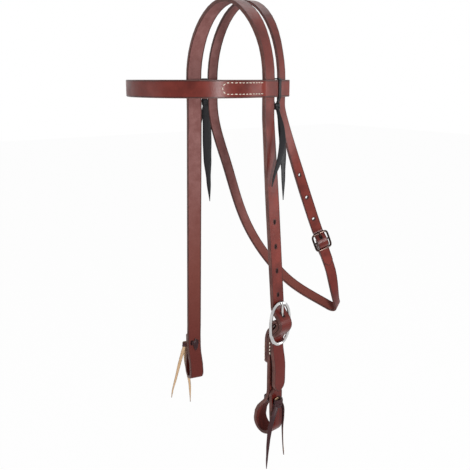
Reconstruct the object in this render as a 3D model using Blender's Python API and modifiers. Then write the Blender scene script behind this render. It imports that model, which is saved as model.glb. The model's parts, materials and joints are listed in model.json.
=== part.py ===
"""Western browband headstall: leather straps, two centre-bar buckles and leather ties.

The headstall hangs as on a horse's head. X runs from the off side to the near side, -Y is the horse's front
and Z is up. The origin lies on the underside of the crown, where the headstall hangs on the poll.
All lengths are in metres.
"""

import math

import bmesh
import bpy
from mathutils import Matrix, Vector

# Leather stock
MAIN_WIDTH = 0.0195
MAIN_THICKNESS = 0.0042
CHEEKPIECE_THICKNESS = 0.0040
THROAT_WIDTH = 0.0130
THROAT_THICKNESS = 0.0028
BROWBAND_WIDTH = 0.0185
BROWBAND_THICKNESS = 0.0030
EDGE_ROUND = 0.0007
THROAT_EDGE_ROUND = 0.0004
LAYER_GAP = 0.0003
STATION_STEP = 0.0085
BEND_STEP = 0.0026

# Crown arch and cheeks
ARCH_HALF_SPAN = 0.0765
ARCH_RISE = 0.0850
ARCH_FULLNESS = 1.90
ARCH_TWIST_DROP = 0.0600
CHEEK_PLUMB_DROP = 0.1260
NEAR_SPLAY = math.radians(4.2)
OFF_SPLAY = math.radians(1.8)
NEAR_DRIFT = math.radians(1.2)
NEAR_TOE = math.radians(18.0)
OFF_TOE = math.radians(12.0)
BUCKLE_TOE = math.radians(8.0)
TOE_CHANGE_DROP = 0.2300

# Billet and its holes
BILLET_HOLE_PITCH = 0.0285
BILLET_HOLES_ABOVE = 4
BILLET_HOLE_LENGTH = 0.0046
BILLET_HOLE_WIDTH = 0.0030
BILLET_TAIL = 0.0860
BILLET_TIP = 0.0120
BILLET_LIFT_START = 0.0250
BILLET_LIFT_END = 0.0560

# Cheek buckle
CHEEK_BAR_DROP = 0.3620
CHEEK_FRAME_WIDTH = 0.0360
CHEEK_FRAME_HEIGHT = 0.0540
CHEEK_RIM_WIDTH = 0.0044
CHEEK_RIM_THICKNESS = 0.0034
CHEEK_FRAME_FULLNESS = 2.35
CHEEK_BAR_RADIUS = 0.00175
CHEEK_TONGUE_RADIUS = 0.00135
CHEEK_RAIL_GAP = 0.0010
CHEEK_EASE = -0.0050
TONGUE_OVERHANG = 0.0012
TONGUE_LIFT = math.radians(4.0)
TONGUE_SIDE_GAP = 0.0005

# Cheekpiece
CHEEKPIECE_FOLD_BACK = 0.0560
CHEEKPIECE_CLOSING = 0.0160

# Bit loops
NEAR_LOOP_LENGTH = 0.0460
OFF_LOOP_LENGTH = 0.0545
NEAR_LOOP_BULGE = 0.0215
OFF_LOOP_BULGE = 0.0095
NEAR_OUTER_BULGE = 0.0010
OFF_OUTER_BULGE = 0.0062
NEAR_LACE_DROP = 0.4620
OFF_LACE_DROP = 0.4490
NEAR_OPENING_RISE = 0.0140
OFF_OPENING_RISE = -0.0070
LACE_TO_TIP = 0.0190
LACE_HOLE_SPREAD = 0.0080
LACE_HOLE_WIDTH = 0.0032
LACE_HOLE_LENGTH = 0.0062
BIT_LOOP_TIP = 0.0060

# Bit ties
BIT_LACE_WIDTH = 0.0052
BIT_LACE_THICKNESS = 0.0016
BIT_LACE_TIP = 0.0400
BIT_KNOT_RADIUS = 0.0046
BIT_KNOT_THICKNESS = 0.0012
BIT_TAIL_LENGTH = 0.1000
NEAR_BIT_TAIL_SHARES = ((-0.33, 0.02, 0.97), (0.04, 0.06, 0.76))
OFF_BIT_TAIL_SHARES = ((-0.22, 0.25, 0.93), (0.01, 0.08, 1.00))

# Browband
BROWBAND_DROP = 0.0955
BROWBAND_REACH = 0.1180
BROWBAND_SIDE_HANDLE_LENGTH = 0.0560
BROWBAND_FRONT_HANDLE_LENGTH = 0.0560
BROWBAND_TAB = 0.0600
BROWBAND_TAB_TIP = 0.0090
STRAP_GAP = 0.0004
LOOP_END_ROOM = 0.0010
LOOP_RAMP = 0.0085
STRAP_SPACING = 0.0255

# Browband ties
TIE_WIDTH = 0.0048
TIE_THICKNESS = 0.0015
TIE_LEAF_WIDTH = 0.0110
TIE_KNOT_RADIUS = 0.0036
TIE_KNOT_THICKNESS = 0.0011
TIE_KNOT_BELOW = 0.0100
TIE_TIP = 0.0440
TIE_RING_GAP = 0.0003
TIE_TAIL_LENGTH = 0.1000
NEAR_TIE_TAIL_SHARES = ((-0.24, 0.18, 0.84), (0.05, 0.09, 1.03))
OFF_TIE_TAIL_SHARES = ((0.05, 0.06, 1.26), (-0.06, 0.12, 1.06))

# Throat strap
THROAT_RISE = 0.0870
THROAT_LIFT = 0.0010
THROAT_RETURN_DROP = 0.3430
THROAT_RETURN_SHARES = (
    (0.0233, 0.2536, 1.0000),
    (-0.0991, 0.1720, 0.8251),
    (-0.1749, 0.1224, 0.5889),
)
THROAT_NEAR_HANDLE_LENGTH = 0.0150
THROAT_FALL_HANDLE_LENGTH = 0.0240
THROAT_PLUMB_DROP = 0.1140
THROAT_BUCKLE_OUT = 0.0740
THROAT_BUCKLE_BACK = 0.0890
THROAT_BUCKLE_DROP = 0.2800
THROAT_BUCKLE_LEAN = math.radians(29.0)
THROAT_BUCKLE_INSET = math.radians(5.0)
THROAT_BUCKLE_TOE = math.radians(-27.0)
THROAT_BEND_OUT = 0.0585
THROAT_BEND_BACK = 0.1360
THROAT_BEND_DROP = 0.3780
THROAT_BEND_LEAN = math.radians(32.0)
THROAT_BEND_INSET = math.radians(13.0)
THROAT_BEND_RADIUS = 0.0085
THROAT_BEND_TURN = math.radians(122.0)
THROAT_BEND_TWIST = math.radians(20.0)
THROAT_RUN_HANDLE_LENGTH = 0.0180
THROAT_HOLE_PITCH = 0.0302
THROAT_HOLES_ABOVE = 3
THROAT_HOLE_RADIUS = 0.0019
THROAT_TAIL = 0.0430
THROAT_TIP = 0.0080
THROAT_FOLD_BACK = 0.0340
THROAT_CLOSING = 0.0110

# Throat buckle
THROAT_FRAME_WIDTH = 0.0225
THROAT_FRAME_HEIGHT = 0.0275
THROAT_FRAME_FULLNESS = 6.0
THROAT_RIM = 0.0026
THROAT_BAR_RADIUS = 0.0011
THROAT_TONGUE_RADIUS = 0.0009
THROAT_RAIL_GAP = 0.0010
THROAT_EASE = 0.0018

# Shapes shared by several pieces
TIP_BLUNT_SHARE = 0.03
SHANK_TIP_SHARE = 0.72
LEAF_SHARE = 0.38
TAIL_POINT_WIDTH = 0.0012
TAIL_PARTING = 0.0008
TAIL_LEAN_SHARE = 0.32
KNOT_TILT = math.radians(28.0)
KNOT_TURN = math.radians(17.0)
KNOT_FLATNESS_SHARE = 0.8
HANDLE_SHARE = 0.45
LOOP_HANDLE_SHARE = 0.55
WELD = 0.00001
OVERRUN = 0.0040

# Name, colour, roughness and metallic value of each finish
CHESTNUT = ("chestnut_leather", (0.150, 0.035, 0.030), 0.42, 0.0)
BLACK_LEATHER = ("black_leather", (0.012, 0.012, 0.014), 0.50, 0.0)
LACE_LEATHER = ("lace_leather", (0.090, 0.030, 0.028), 0.50, 0.0)
STAINLESS = ("stainless_steel", (0.620, 0.620, 0.600), 0.22, 1.0)
ANTIQUE = ("antique_metal", (0.060, 0.040, 0.034), 0.35, 1.0)

PARTS = "western_headstall"
CUTTERS = "cutters"
NEAR, OFF = 1.0, -1.0


def clear_scene():
    """Removes every object of the open scene."""
    for old in list(bpy.data.objects):
        bpy.data.objects.remove(old, do_unlink=True)


def collection(name):
    """Returns the collection of this name, linked to the scene."""
    if name not in bpy.data.collections:
        bpy.context.scene.collection.children.link(bpy.data.collections.new(name))
    return bpy.data.collections[name]


def material(name, colour, roughness, metallic):
    """Returns a Principled material with these values."""
    made = bpy.data.materials.new(name)
    made.use_nodes = True
    shader = made.node_tree.nodes["Principled BSDF"]
    shader.inputs["Base Color"].default_value = (*colour, 1.0)
    shader.inputs["Roughness"].default_value = roughness
    shader.inputs["Metallic"].default_value = metallic
    made.diffuse_color = (*colour, 1.0)
    return made


def add_part(name, mesh, finish):
    """Links a sub-part under its own name, with its own material."""
    part = bpy.data.objects.new(name, mesh)
    mesh.materials.clear()
    colour_name, colour, roughness, metallic = finish
    mesh.materials.append(material(f"{name}_{colour_name}", colour, roughness, metallic))
    collection(PARTS).objects.link(part)
    return part


def add_cutter(name, mesh):
    """Links a shape that only cuts or joins another."""
    cutter = bpy.data.objects.new(name, mesh)
    cutter.hide_render = True
    cutter.display_type = "WIRE"
    collection(CUTTERS).objects.link(cutter)
    return cutter


def boolean(part, other, operation):
    """Cuts or joins a part with another closed mesh."""
    step = part.modifiers.new(other.name, "BOOLEAN")
    step.operation = operation
    step.solver = "EXACT"
    step.object = other


def smooth(share):
    """Smooth step from 0 to 1."""
    share = min(max(share, 0.0), 1.0)
    return share * share * (3.0 - 2.0 * share)


def mix(start, end, share):
    """Blend of two values."""
    return start + (end - start) * share


def bump(share):
    """Falls from 1 to 0 in two even bends."""
    share = min(share, 1.0)
    if share < 0.5:
        return 1.0 - 2.0 * share * share
    return 2.0 * (1.0 - share) ** 2


def bezier(start, start_handle, end_handle, end):
    """Points along one cubic Bezier, its first point left out."""
    count = max(4, round((end - start).length / STATION_STEP))
    found = []
    for step in range(1, count + 1):
        t = step / count
        u = 1.0 - t
        found.append(
            start * u**3
            + start_handle * (3.0 * u * u * t)
            + end_handle * (3.0 * u * t * t)
            + end * t**3
        )
    return found


def through(places, first_heading, last_heading):
    """Points along one smooth curve through places, its first point left out."""
    headings = [first_heading]
    for before, after in zip(places, places[2:]):
        headings.append((after - before).normalized())
    headings.append(last_heading)
    found = []
    for index, (start, end) in enumerate(zip(places, places[1:])):
        handle = (end - start).length / 3.0
        start_handle = start + headings[index] * handle
        found += bezier(start, start_handle, end - headings[index + 1] * handle, end)
    return found


def travel_at(points, index):
    """Unit direction of travel at one point of a route."""
    last = len(points) - 1
    return (points[min(index + 1, last)] - points[max(index - 1, 0)]).normalized()


def offset_line(points, distances):
    """A plane line moved sideways by a distance at each point, to the right of its travel."""
    moved = []
    for index, (point, distance) in enumerate(zip(points, distances)):
        travel = travel_at(points, index)
        moved.append(point + Vector((travel.y, -travel.x)) * distance)
    return moved


class Ribbon:
    """A strap's route: its points, the direction of its front edge and its width at each."""

    def __init__(self, width):
        self.width = width
        self.points = []
        self.fronts = []

    def add(self, point, front):
        """Adds a station unless it lies on the last one."""
        if not self.points or (point - self.points[-1]).length > LAYER_GAP:
            self.points.append(Vector(point))
            self.fronts.append(Vector(front))

    def distances(self):
        """Distance along the route at each station."""
        found = [0.0]
        for before, after in zip(self.points, self.points[1:]):
            found.append(found[-1] + (after - before).length)
        return found

    def frame(self, index):
        """Point, front edge direction, grain direction and travel at a station."""
        travel = travel_at(self.points, index)
        front = self.fronts[index]
        front = (front - travel * front.dot(travel)).normalized()
        return self.points[index], front, front.cross(travel), travel

    def matrix_at(self, distance):
        """Placement whose X is the strap's width, Y its grain side and Z back along its travel."""
        distances = self.distances()
        index = next(i for i, reached in enumerate(distances) if reached >= distance)
        before, after = distances[index - 1], distances[index]
        share = (distance - before) / (after - before)
        point = self.points[index - 1].lerp(self.points[index], share)
        travel = (self.points[index] - self.points[index - 1]).normalized()
        front = self.fronts[index]
        front = (front - travel * front.dot(travel)).normalized()
        grain = front.cross(travel)
        placed = Matrix((front, grain, -travel)).transposed().to_4x4()
        placed.translation = point
        return placed

    def half_widths(self, start_tip, end_tip):
        """Half the strap's width at each station, drawn in over the tips."""
        distances = self.distances()
        found = []
        for distance in distances:
            share = 1.0
            for tip, away in ((start_tip, distance), (end_tip, distances[-1] - distance)):
                if tip and away < tip:
                    share = min(share, math.sqrt(1.0 - (1.0 - max(away / tip, TIP_BLUNT_SHARE)) ** 2))
            found.append(self.width / 2.0 * share)
        return found

    def mesh(self, name, halves):
        """A flat grid, one face wide, with each row moved to its station."""
        shell = bmesh.new()
        last = len(self.points) - 1
        bmesh.ops.create_grid(shell, x_segments=last, y_segments=1, size=1.0)
        for vert in shell.verts:
            index = round((vert.co.x + 1.0) / 2.0 * last)
            point, front, _, _ = self.frame(index)
            vert.co = point + front * (halves[index] * vert.co.y)
        made = bpy.data.meshes.new(name)
        shell.to_mesh(made)
        shell.free()
        return made


def strap(name, ribbon, thickness, finish, start_tip=0.0, end_tip=0.0, edge=EDGE_ROUND):
    """A strap with rounded edges along a ribbon's route."""
    part = add_part(name, ribbon.mesh(name, ribbon.half_widths(start_tip, end_tip)), finish)
    thicken(part, thickness, edge)
    return part


def thicken(part, thickness, edge):
    """Gives an open surface its thickness, evenly to both sides, and rounds its long edges."""
    shell = part.modifiers.new("thickness", "SOLIDIFY")
    shell.thickness = thickness
    shell.offset = 0.0
    rounding = part.modifiers.new("edges", "BEVEL")
    rounding.width = edge
    rounding.segments = 1
    rounding.limit_method = "ANGLE"
    rounding.angle_limit = math.radians(60.0)


class Seat:
    """A plane frame beside a buckle bar or along a cheek: front, grain side and up."""

    def __init__(self, origin, front, grain):
        self.origin = Vector(origin)
        self.front = Vector(front).normalized()
        self.grain = Vector(grain).normalized()
        self.up = self.front.cross(self.grain).normalized()

    def at(self, out, height, along=0.0):
        """World point this far out, up and forwards."""
        return self.origin + self.grain * out + self.up * height + self.front * along

    def matrix(self):
        """Placement whose X is the front, Y the grain side and Z up."""
        placed = Matrix((self.grain.cross(self.up), self.grain, self.up)).transposed().to_4x4()
        placed.translation = self.origin
        return placed


def cheek_toe(side, drop):
    """How far a cheek's front edge is turned outwards at a depth below the crown."""
    if side < 0:
        toe = OFF_TOE
    else:
        change = (drop - CHEEK_PLUMB_DROP) / (TOE_CHANGE_DROP - CHEEK_PLUMB_DROP)
        toe = mix(NEAR_TOE, BUCKLE_TOE, smooth(change))
    return toe * smooth(drop / ARCH_TWIST_DROP)


def cheek_front(side, drop):
    """Direction of a cheek's front edge."""
    toe = cheek_toe(side, drop)
    return Vector((side * math.sin(toe), -math.cos(toe), 0.0))


def cheek_point(side, drop):
    """Centre of a cheek at a depth below the crown."""
    below = max(drop - CHEEK_PLUMB_DROP, 0.0)
    splay, drift = (NEAR_SPLAY, NEAR_DRIFT) if side > 0 else (OFF_SPLAY, 0.0)
    return Vector(
        (side * (ARCH_HALF_SPAN + below * math.tan(splay)), below * math.tan(drift), -drop)
    )


def cheek_seat(side, drop, at_drop):
    """Seat on a cheek's line whose height zero lies at a drop of its own."""
    front = cheek_front(side, drop)
    grain = front.cross(Vector((0.0, 0.0, -side))).normalized()
    origin = cheek_point(side, drop)
    origin.z = -at_drop
    seat = Seat(origin, front, grain)
    seat.up = Vector((0.0, 0.0, 1.0))
    return seat


def arch(half_span, rise, lift, back):
    """Points over the poll from the off side to the near side, with their fronts."""
    count = 24
    points = []
    for step in range(count + 1):
        angle = math.pi * (1.0 - step / count)
        across, up = math.cos(angle), math.sin(angle)
        power = 2.0 / ARCH_FULLNESS
        x = math.copysign(abs(across) ** power, across) * half_span
        z = abs(up) ** power * (rise + lift) - rise
        side = NEAR if x > 0 else OFF
        drop = max(-z, 0.0)
        front = cheek_front(side, drop)
        shift = front * -back if drop else Vector((0.0, back, 0.0))
        points.append((Vector((x, shift.y, z)), front))
    return points


class Buckle:
    """The sizes of one centre-bar buckle and of the strap that it holds."""

    def __init__(self, width, height, fullness, rim, rim_thickness, bar, tongue, sizes):
        self.width, self.height, self.fullness = width, height, fullness
        self.rim, self.rim_thickness, self.bar, self.tongue = rim, rim_thickness, bar, tongue
        self.billet, self.fold, rail_gap, self.ease = sizes
        self.half = height / 2.0 + self.ease
        self.rail = (height - rim) / 2.0
        self.fold_radius = bar + LAYER_GAP + self.fold / 2.0
        self.over = self.fold_radius + self.fold / 2.0 + LAYER_GAP + self.billet / 2.0
        at_rail = bump(self.rail / self.half)
        target = -(rim_thickness / 2.0 + rail_gap + self.billet / 2.0)
        self.under = (target - self.over * at_rail) / (1.0 - at_rail)
        self.tongue_out = rim_thickness / 2.0 + LAYER_GAP + tongue

    def billet_out(self, height):
        """How far out of the bar's plane the billet's middle lies at a height."""
        return mix(self.under, self.over, bump(abs(height) / self.half))

    def crossing(self):
        """Height at which the billet passes the tongue."""
        risen = (self.tongue_out - self.under) / (self.over - self.under)
        if risen > 0.5:
            return self.half * math.sqrt((1.0 - risen) / 2.0)
        return self.half * (1.0 - math.sqrt(risen / 2.0))

    def billet_line(self, top, bottom):
        """The billet's middle line from a height above the bar to one below it."""
        count = max(6, round((top - bottom) / BEND_STEP))
        heights = [mix(top, bottom, step / count) for step in range(count + 1)]
        return [Vector((self.billet_out(height), height)) for height in heights]

    def fold_line(self, fold_back, closing, reach):
        """Line of a strap folded round the bar: up the back, over the bar and down under the billet."""
        outer_gap = self.billet / 2.0 + LAYER_GAP + self.fold / 2.0
        billet = self.billet_line(0.0, -reach)
        outer = offset_line(billet, [outer_gap] * len(billet))
        inner = []
        for index, point in enumerate(outer):
            layer = (self.fold + LAYER_GAP) / abs(travel_at(outer, index).y)
            apart = mix(2.0 * self.fold_radius, layer, smooth(-point.y / closing))
            if point.y > -fold_back:
                inner.append(Vector((point.x - apart, point.y)))
        turns = 8
        over = []
        for step in range(1, turns):
            angle = math.pi * (1.0 - step / turns)
            over.append(Vector((math.cos(angle), math.sin(angle))) * self.fold_radius)
        return inner[::-1] + over + outer


CHEEK_BUCKLE = Buckle(
    CHEEK_FRAME_WIDTH,
    CHEEK_FRAME_HEIGHT,
    CHEEK_FRAME_FULLNESS,
    CHEEK_RIM_WIDTH,
    CHEEK_RIM_THICKNESS,
    CHEEK_BAR_RADIUS,
    CHEEK_TONGUE_RADIUS,
    (MAIN_THICKNESS, CHEEKPIECE_THICKNESS, CHEEK_RAIL_GAP, CHEEK_EASE),
)
THROAT_BUCKLE = Buckle(
    THROAT_FRAME_WIDTH,
    THROAT_FRAME_HEIGHT,
    THROAT_FRAME_FULLNESS,
    THROAT_RIM,
    THROAT_RIM,
    THROAT_BAR_RADIUS,
    THROAT_TONGUE_RADIUS,
    (THROAT_THICKNESS, THROAT_THICKNESS, THROAT_RAIL_GAP, THROAT_EASE),
)


def cheek_buckle_seat():
    """Seat of the cheek buckle: its origin on the bar's middle."""
    seat = cheek_seat(NEAR, CHEEK_BAR_DROP - CHEEK_BUCKLE.half, CHEEK_BAR_DROP)
    seat.origin = seat.origin - seat.grain * CHEEK_BUCKLE.under
    return seat


def leaning(lean, inset):
    """Downward direction that leans to the back and to the inside."""
    return Vector(
        (-math.sin(inset), math.sin(lean) * math.cos(inset), -math.cos(lean) * math.cos(inset))
    )


def throat_buckle_seat():
    """Seat of the throat buckle: its origin on the bar's middle."""
    travel = leaning(THROAT_BUCKLE_LEAN, THROAT_BUCKLE_INSET)
    grain = Vector((math.cos(THROAT_BUCKLE_TOE), math.sin(THROAT_BUCKLE_TOE), 0.0))
    front = travel.cross(grain).normalized()
    origin = (THROAT_BUCKLE_OUT, THROAT_BUCKLE_BACK, -THROAT_BUCKLE_DROP)
    return Seat(origin, front, front.cross(travel))


def add_line(ribbon, seat, line):
    """Adds a plane line of a seat to a ribbon."""
    for point in line:
        ribbon.add(seat.at(point.x, point.y), seat.front)


class BitLoop:
    """The depths and bulges of one bit loop."""

    def __init__(self, lace_drop, opening_rise, length, bulge, outer_bulge):
        self.lace_drop = lace_drop
        self.opening_drop = lace_drop - opening_rise
        self.bottom_drop = lace_drop + length
        self.bulge, self.outer_bulge = bulge, outer_bulge

    def line(self, thickness, base, zero_drop):
        """Line from the tip on the outer side, round the bottom, to the main layer."""
        outer = base + thickness + LAYER_GAP
        low_outer = outer + self.outer_bulge
        inner = base - self.bulge
        radius = (low_outer - inner) / 2.0
        middle = (low_outer + inner) / 2.0
        turn = zero_drop - (self.bottom_drop - radius - thickness / 2.0)
        tip = zero_drop - (self.lace_drop - LACE_TO_TIP)
        opening = zero_drop - self.opening_drop
        leg = zero_drop - (self.lace_drop + LACE_HOLE_LENGTH)
        found = []
        count = max(3, round((tip - leg) / STATION_STEP))
        for step in range(count + 1):
            found.append(Vector((outer, mix(tip, leg, step / count))))
        handle = (leg - turn) * HANDLE_SHARE
        found += bezier(
            Vector((outer, leg)),
            Vector((outer, leg - handle)),
            Vector((low_outer, turn + handle)),
            Vector((low_outer, turn)),
        )
        turns = 11
        for step in range(1, turns + 1):
            angle = -math.pi * step / turns
            around = Vector((math.cos(angle), math.sin(angle))) * radius
            found.append(Vector((middle, turn)) + around)
        low_handle = (opening - turn) * LOOP_HANDLE_SHARE
        handle = (opening - turn) * HANDLE_SHARE
        found += bezier(
            Vector((inner, turn)),
            Vector((inner, turn + low_handle)),
            Vector((base, opening - handle)),
            Vector((base, opening)),
        )
        top = max(opening, zero_drop - self.lace_drop) + 2.0 * LACE_HOLE_LENGTH
        found.append(Vector((base, top)))
        return found

    def lace_span(self, thickness):
        """Out positions of the two layers' outsides where the lace lies, from the main layer's base."""
        line = self.line(thickness, 0.0, self.lace_drop)
        half = BIT_LACE_WIDTH / 2.0
        inner = 0.0
        for below, above in zip(line[len(line) // 2 :], line[len(line) // 2 + 1 :]):
            if below.y <= -half < above.y:
                share = (-half - below.y) / (above.y - below.y)
                steep = (above - below).length / (above.y - below.y)
                inner = mix(below.x, above.x, share) + (1.0 - steep) * thickness / 2.0
        return inner - thickness / 2.0, thickness + LAYER_GAP + thickness / 2.0


NEAR_LOOP = BitLoop(
    NEAR_LACE_DROP, NEAR_OPENING_RISE, NEAR_LOOP_LENGTH, NEAR_LOOP_BULGE, NEAR_OUTER_BULGE
)
OFF_LOOP = BitLoop(
    OFF_LACE_DROP, OFF_OPENING_RISE, OFF_LOOP_LENGTH, OFF_LOOP_BULGE, OFF_OUTER_BULGE
)


def add_cheek(ribbon, side, start_drop, end_drop):
    """Adds a straight stretch of cheek to a ribbon, up or down."""
    count = max(2, round(abs(end_drop - start_drop) / STATION_STEP))
    for step in range(count + 1):
        drop = mix(start_drop, end_drop, step / count)
        ribbon.add(cheek_point(side, drop), cheek_front(side, drop))


def crown_ribbon():
    """Route of the crown strap, from the off bit loop's tip to the end of the near billet."""
    ribbon = Ribbon(MAIN_WIDTH)
    seat = cheek_seat(OFF, OFF_LACE_DROP, OFF_LACE_DROP)
    add_line(ribbon, seat, OFF_LOOP.line(MAIN_THICKNESS, 0.0, OFF_LACE_DROP))
    add_cheek(ribbon, OFF, OFF_LACE_DROP - 4.0 * LACE_HOLE_LENGTH, ARCH_RISE)
    for point, front in arch(ARCH_HALF_SPAN, ARCH_RISE, MAIN_THICKNESS / 2.0, 0.0):
        ribbon.add(point, front)
    buckle = cheek_buckle_seat()
    top = CHEEK_BUCKLE.half
    add_cheek(ribbon, NEAR, ARCH_RISE, CHEEK_BAR_DROP - top)
    add_line(ribbon, buckle, CHEEK_BUCKLE.billet_line(top, -CHEEK_BUCKLE.half))
    lift = CHEEKPIECE_THICKNESS + LAYER_GAP
    count = round((BILLET_TAIL - CHEEK_BUCKLE.half) / (STATION_STEP / 2.0))
    tail = []
    for step in range(1, count + 1):
        below = mix(CHEEK_BUCKLE.half, BILLET_TAIL, step / count)
        share = (below - BILLET_LIFT_START) / (BILLET_LIFT_END - BILLET_LIFT_START)
        tail.append(Vector((CHEEK_BUCKLE.under + lift * smooth(share), -below)))
    add_line(ribbon, buckle, tail)
    return ribbon


def oblong(name, length, width, depth, placed):
    """A rounded slot cutter whose length runs along Z and whose depth runs along Y."""
    shape = bmesh.new()
    sides = 12
    circle = bmesh.ops.create_cone(
        shape,
        cap_ends=True,
        segments=sides,
        radius1=width / 2.0,
        radius2=width / 2.0,
        depth=depth,
        matrix=Matrix.Rotation(math.pi / 2.0, 4, "X"),
    )
    for vert in circle["verts"]:
        stretch = (length - width) / 2.0
        vert.co.z += math.copysign(stretch, vert.co.z) if abs(vert.co.z) > LAYER_GAP / 2.0 else 0.0
    shape.transform(placed)
    mesh = bpy.data.meshes.new(name)
    shape.to_mesh(mesh)
    shape.free()
    return add_cutter(name, mesh)


def box(name, size, placed):
    """A box cutter."""
    shape = bmesh.new()
    bmesh.ops.create_cube(shape, size=1.0, matrix=placed @ Matrix.Diagonal((*size, 1.0)))
    mesh = bpy.data.meshes.new(name)
    shape.to_mesh(mesh)
    shape.free()
    return add_cutter(name, mesh)


def cut_tongue_hole(part, name, buckle, seat):
    """Cuts the hole that the tongue has drawn long in the billet, with room for its lift."""
    height = buckle.crossing()
    sweep = (height + buckle.billet) * math.tan(TONGUE_LIFT)
    depth = 2.0 * buckle.tongue + sweep + 2.0 * LAYER_GAP
    length = 2.0 * (buckle.billet + buckle.tongue)
    width = 2.0 * (buckle.tongue + TONGUE_SIDE_GAP)
    turned = seat.matrix() @ Matrix.Rotation(-TONGUE_LIFT / 2.0, 4, "X")
    middle = buckle.tongue_out
    placed = turned @ Matrix.Translation((0.0, middle, height))
    boolean(part, box(name, (width, depth, length), placed), "DIFFERENCE")


def hole_distance(ribbon, seat, buckle):
    """Distance along the billet at which its middle passes the tongue."""
    target = seat.at(buckle.tongue_out, buckle.crossing())
    distances = ribbon.distances()
    late = len(ribbon.points) // 2
    nearest = min(
        range(late, len(ribbon.points)), key=lambda i: (ribbon.points[i] - target).length
    )
    return distances[nearest]


def cut_lace_holes(part, name, seat, loop, thickness):
    """Cuts the two slits through both layers of a bit loop."""
    inner, outer = loop.lace_span(thickness)
    for index, along in enumerate((-LACE_HOLE_SPREAD / 2.0, LACE_HOLE_SPREAD / 2.0)):
        placed = seat.matrix() @ Matrix.Translation((along, (inner + outer) / 2.0, 0.0))
        depth = outer - inner + OVERRUN
        cutter = oblong(f"{name}_{index}", LACE_HOLE_LENGTH, LACE_HOLE_WIDTH, depth, placed)
        boolean(part, cutter, "DIFFERENCE")


def off_loop_seat():
    """Seat of the off bit loop, with its origin on the main layer at the lace."""
    return cheek_seat(OFF, OFF_LACE_DROP, OFF_LACE_DROP)


def make_crown_strap():
    """The main strap: off bit loop, off cheek, crown and near billet."""
    ribbon = crown_ribbon()
    part = strap("crown_strap", ribbon, MAIN_THICKNESS, CHESTNUT, BIT_LOOP_TIP, BILLET_TIP)
    seat = cheek_buckle_seat()
    used = hole_distance(ribbon, seat, CHEEK_BUCKLE)
    for index in range(1, BILLET_HOLES_ABOVE + 1):
        placed = ribbon.matrix_at(used - index * BILLET_HOLE_PITCH)
        depth = MAIN_THICKNESS + OVERRUN
        name = f"billet_hole_{index}"
        cutter = oblong(name, BILLET_HOLE_LENGTH, BILLET_HOLE_WIDTH, depth, placed)
        boolean(part, cutter, "DIFFERENCE")
    cut_tongue_hole(part, "billet_tongue_hole", CHEEK_BUCKLE, seat)
    cut_lace_holes(part, "off_lace_hole", off_loop_seat(), OFF_LOOP, MAIN_THICKNESS)
    return part


def cheekpiece_base():
    """How far out of the buckle bar's plane the cheekpiece's main layer hangs."""
    return CHEEK_BUCKLE.under - MAIN_THICKNESS / 2.0 - LAYER_GAP - CHEEKPIECE_THICKNESS / 2.0


def near_loop_seat():
    """Seat of the near bit loop, with its origin on the main layer at the lace."""
    seat = cheek_buckle_seat()
    seat.origin = seat.at(cheekpiece_base(), CHEEK_BAR_DROP - NEAR_LACE_DROP)
    return seat


def make_near_cheekpiece():
    """The short strap from the cheek buckle's bar to the near bit loop."""
    seat = cheek_buckle_seat()
    ribbon = Ribbon(MAIN_WIDTH)
    fold = CHEEK_BUCKLE.fold_line(CHEEKPIECE_FOLD_BACK, CHEEKPIECE_CLOSING, CHEEKPIECE_FOLD_BACK)
    loop = NEAR_LOOP.line(CHEEKPIECE_THICKNESS, cheekpiece_base(), CHEEK_BAR_DROP)
    add_line(ribbon, seat, fold)
    start, end = fold[-1], loop[-1]
    count = max(2, round((start.y - end.y) / STATION_STEP))
    add_line(ribbon, seat, [start.lerp(end, step / count) for step in range(1, count)])
    add_line(ribbon, seat, loop[::-1])
    part = strap(
        "near_cheekpiece", ribbon, CHEEKPIECE_THICKNESS, CHESTNUT, BIT_LOOP_TIP, BIT_LOOP_TIP
    )
    reach = CHEEK_BAR_RADIUS + LAYER_GAP + 2.0 * CHEEK_TONGUE_RADIUS + LAYER_GAP
    width = 2.0 * (CHEEK_TONGUE_RADIUS + TONGUE_SIDE_GAP)
    height = reach + OVERRUN
    size = (width, 2.0 * (reach + CHEEKPIECE_THICKNESS), reach + height)
    middle = seat.matrix() @ Matrix.Translation((0.0, 0.0, (height - reach) / 2.0))
    boolean(part, box("cheekpiece_tongue_slot", size, middle), "DIFFERENCE")
    cut_lace_holes(part, "near_lace_hole", near_loop_seat(), NEAR_LOOP, CHEEKPIECE_THICKNESS)
    return part


def curve_mesh(name, points, radii, resolution, cyclic=False):
    """A closed tube along a curve, with its own radius at each point."""
    curve = bpy.data.curves.new(name, "CURVE")
    curve.dimensions = "3D"
    curve.bevel_depth = 1.0
    curve.bevel_resolution = resolution
    curve.use_fill_caps = not cyclic
    spline = curve.splines.new("POLY")
    spline.points.add(len(points) - 1)
    for knot, point, radius in zip(spline.points, points, radii):
        knot.co = (*point, 1.0)
        knot.radius = radius
    spline.use_cyclic_u = cyclic
    holder = bpy.data.objects.new(name, curve)
    bpy.context.scene.collection.objects.link(holder)
    bpy.context.view_layer.update()
    evaluated = holder.evaluated_get(bpy.context.evaluated_depsgraph_get())
    mesh = bpy.data.meshes.new_from_object(evaluated)
    bpy.data.objects.remove(holder, do_unlink=True)
    bpy.data.curves.remove(curve)
    welded = bmesh.new()
    welded.from_mesh(mesh)
    bmesh.ops.remove_doubles(welded, verts=welded.verts, dist=WELD)
    bmesh.ops.recalc_face_normals(welded, faces=welded.faces)
    welded.to_mesh(mesh)
    welded.free()
    return mesh


def shade(mesh):
    """Smooth shading with sharp edges kept."""
    mesh.shade_smooth()
    mesh.set_sharp_from_angle(angle=math.radians(40.0))


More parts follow.
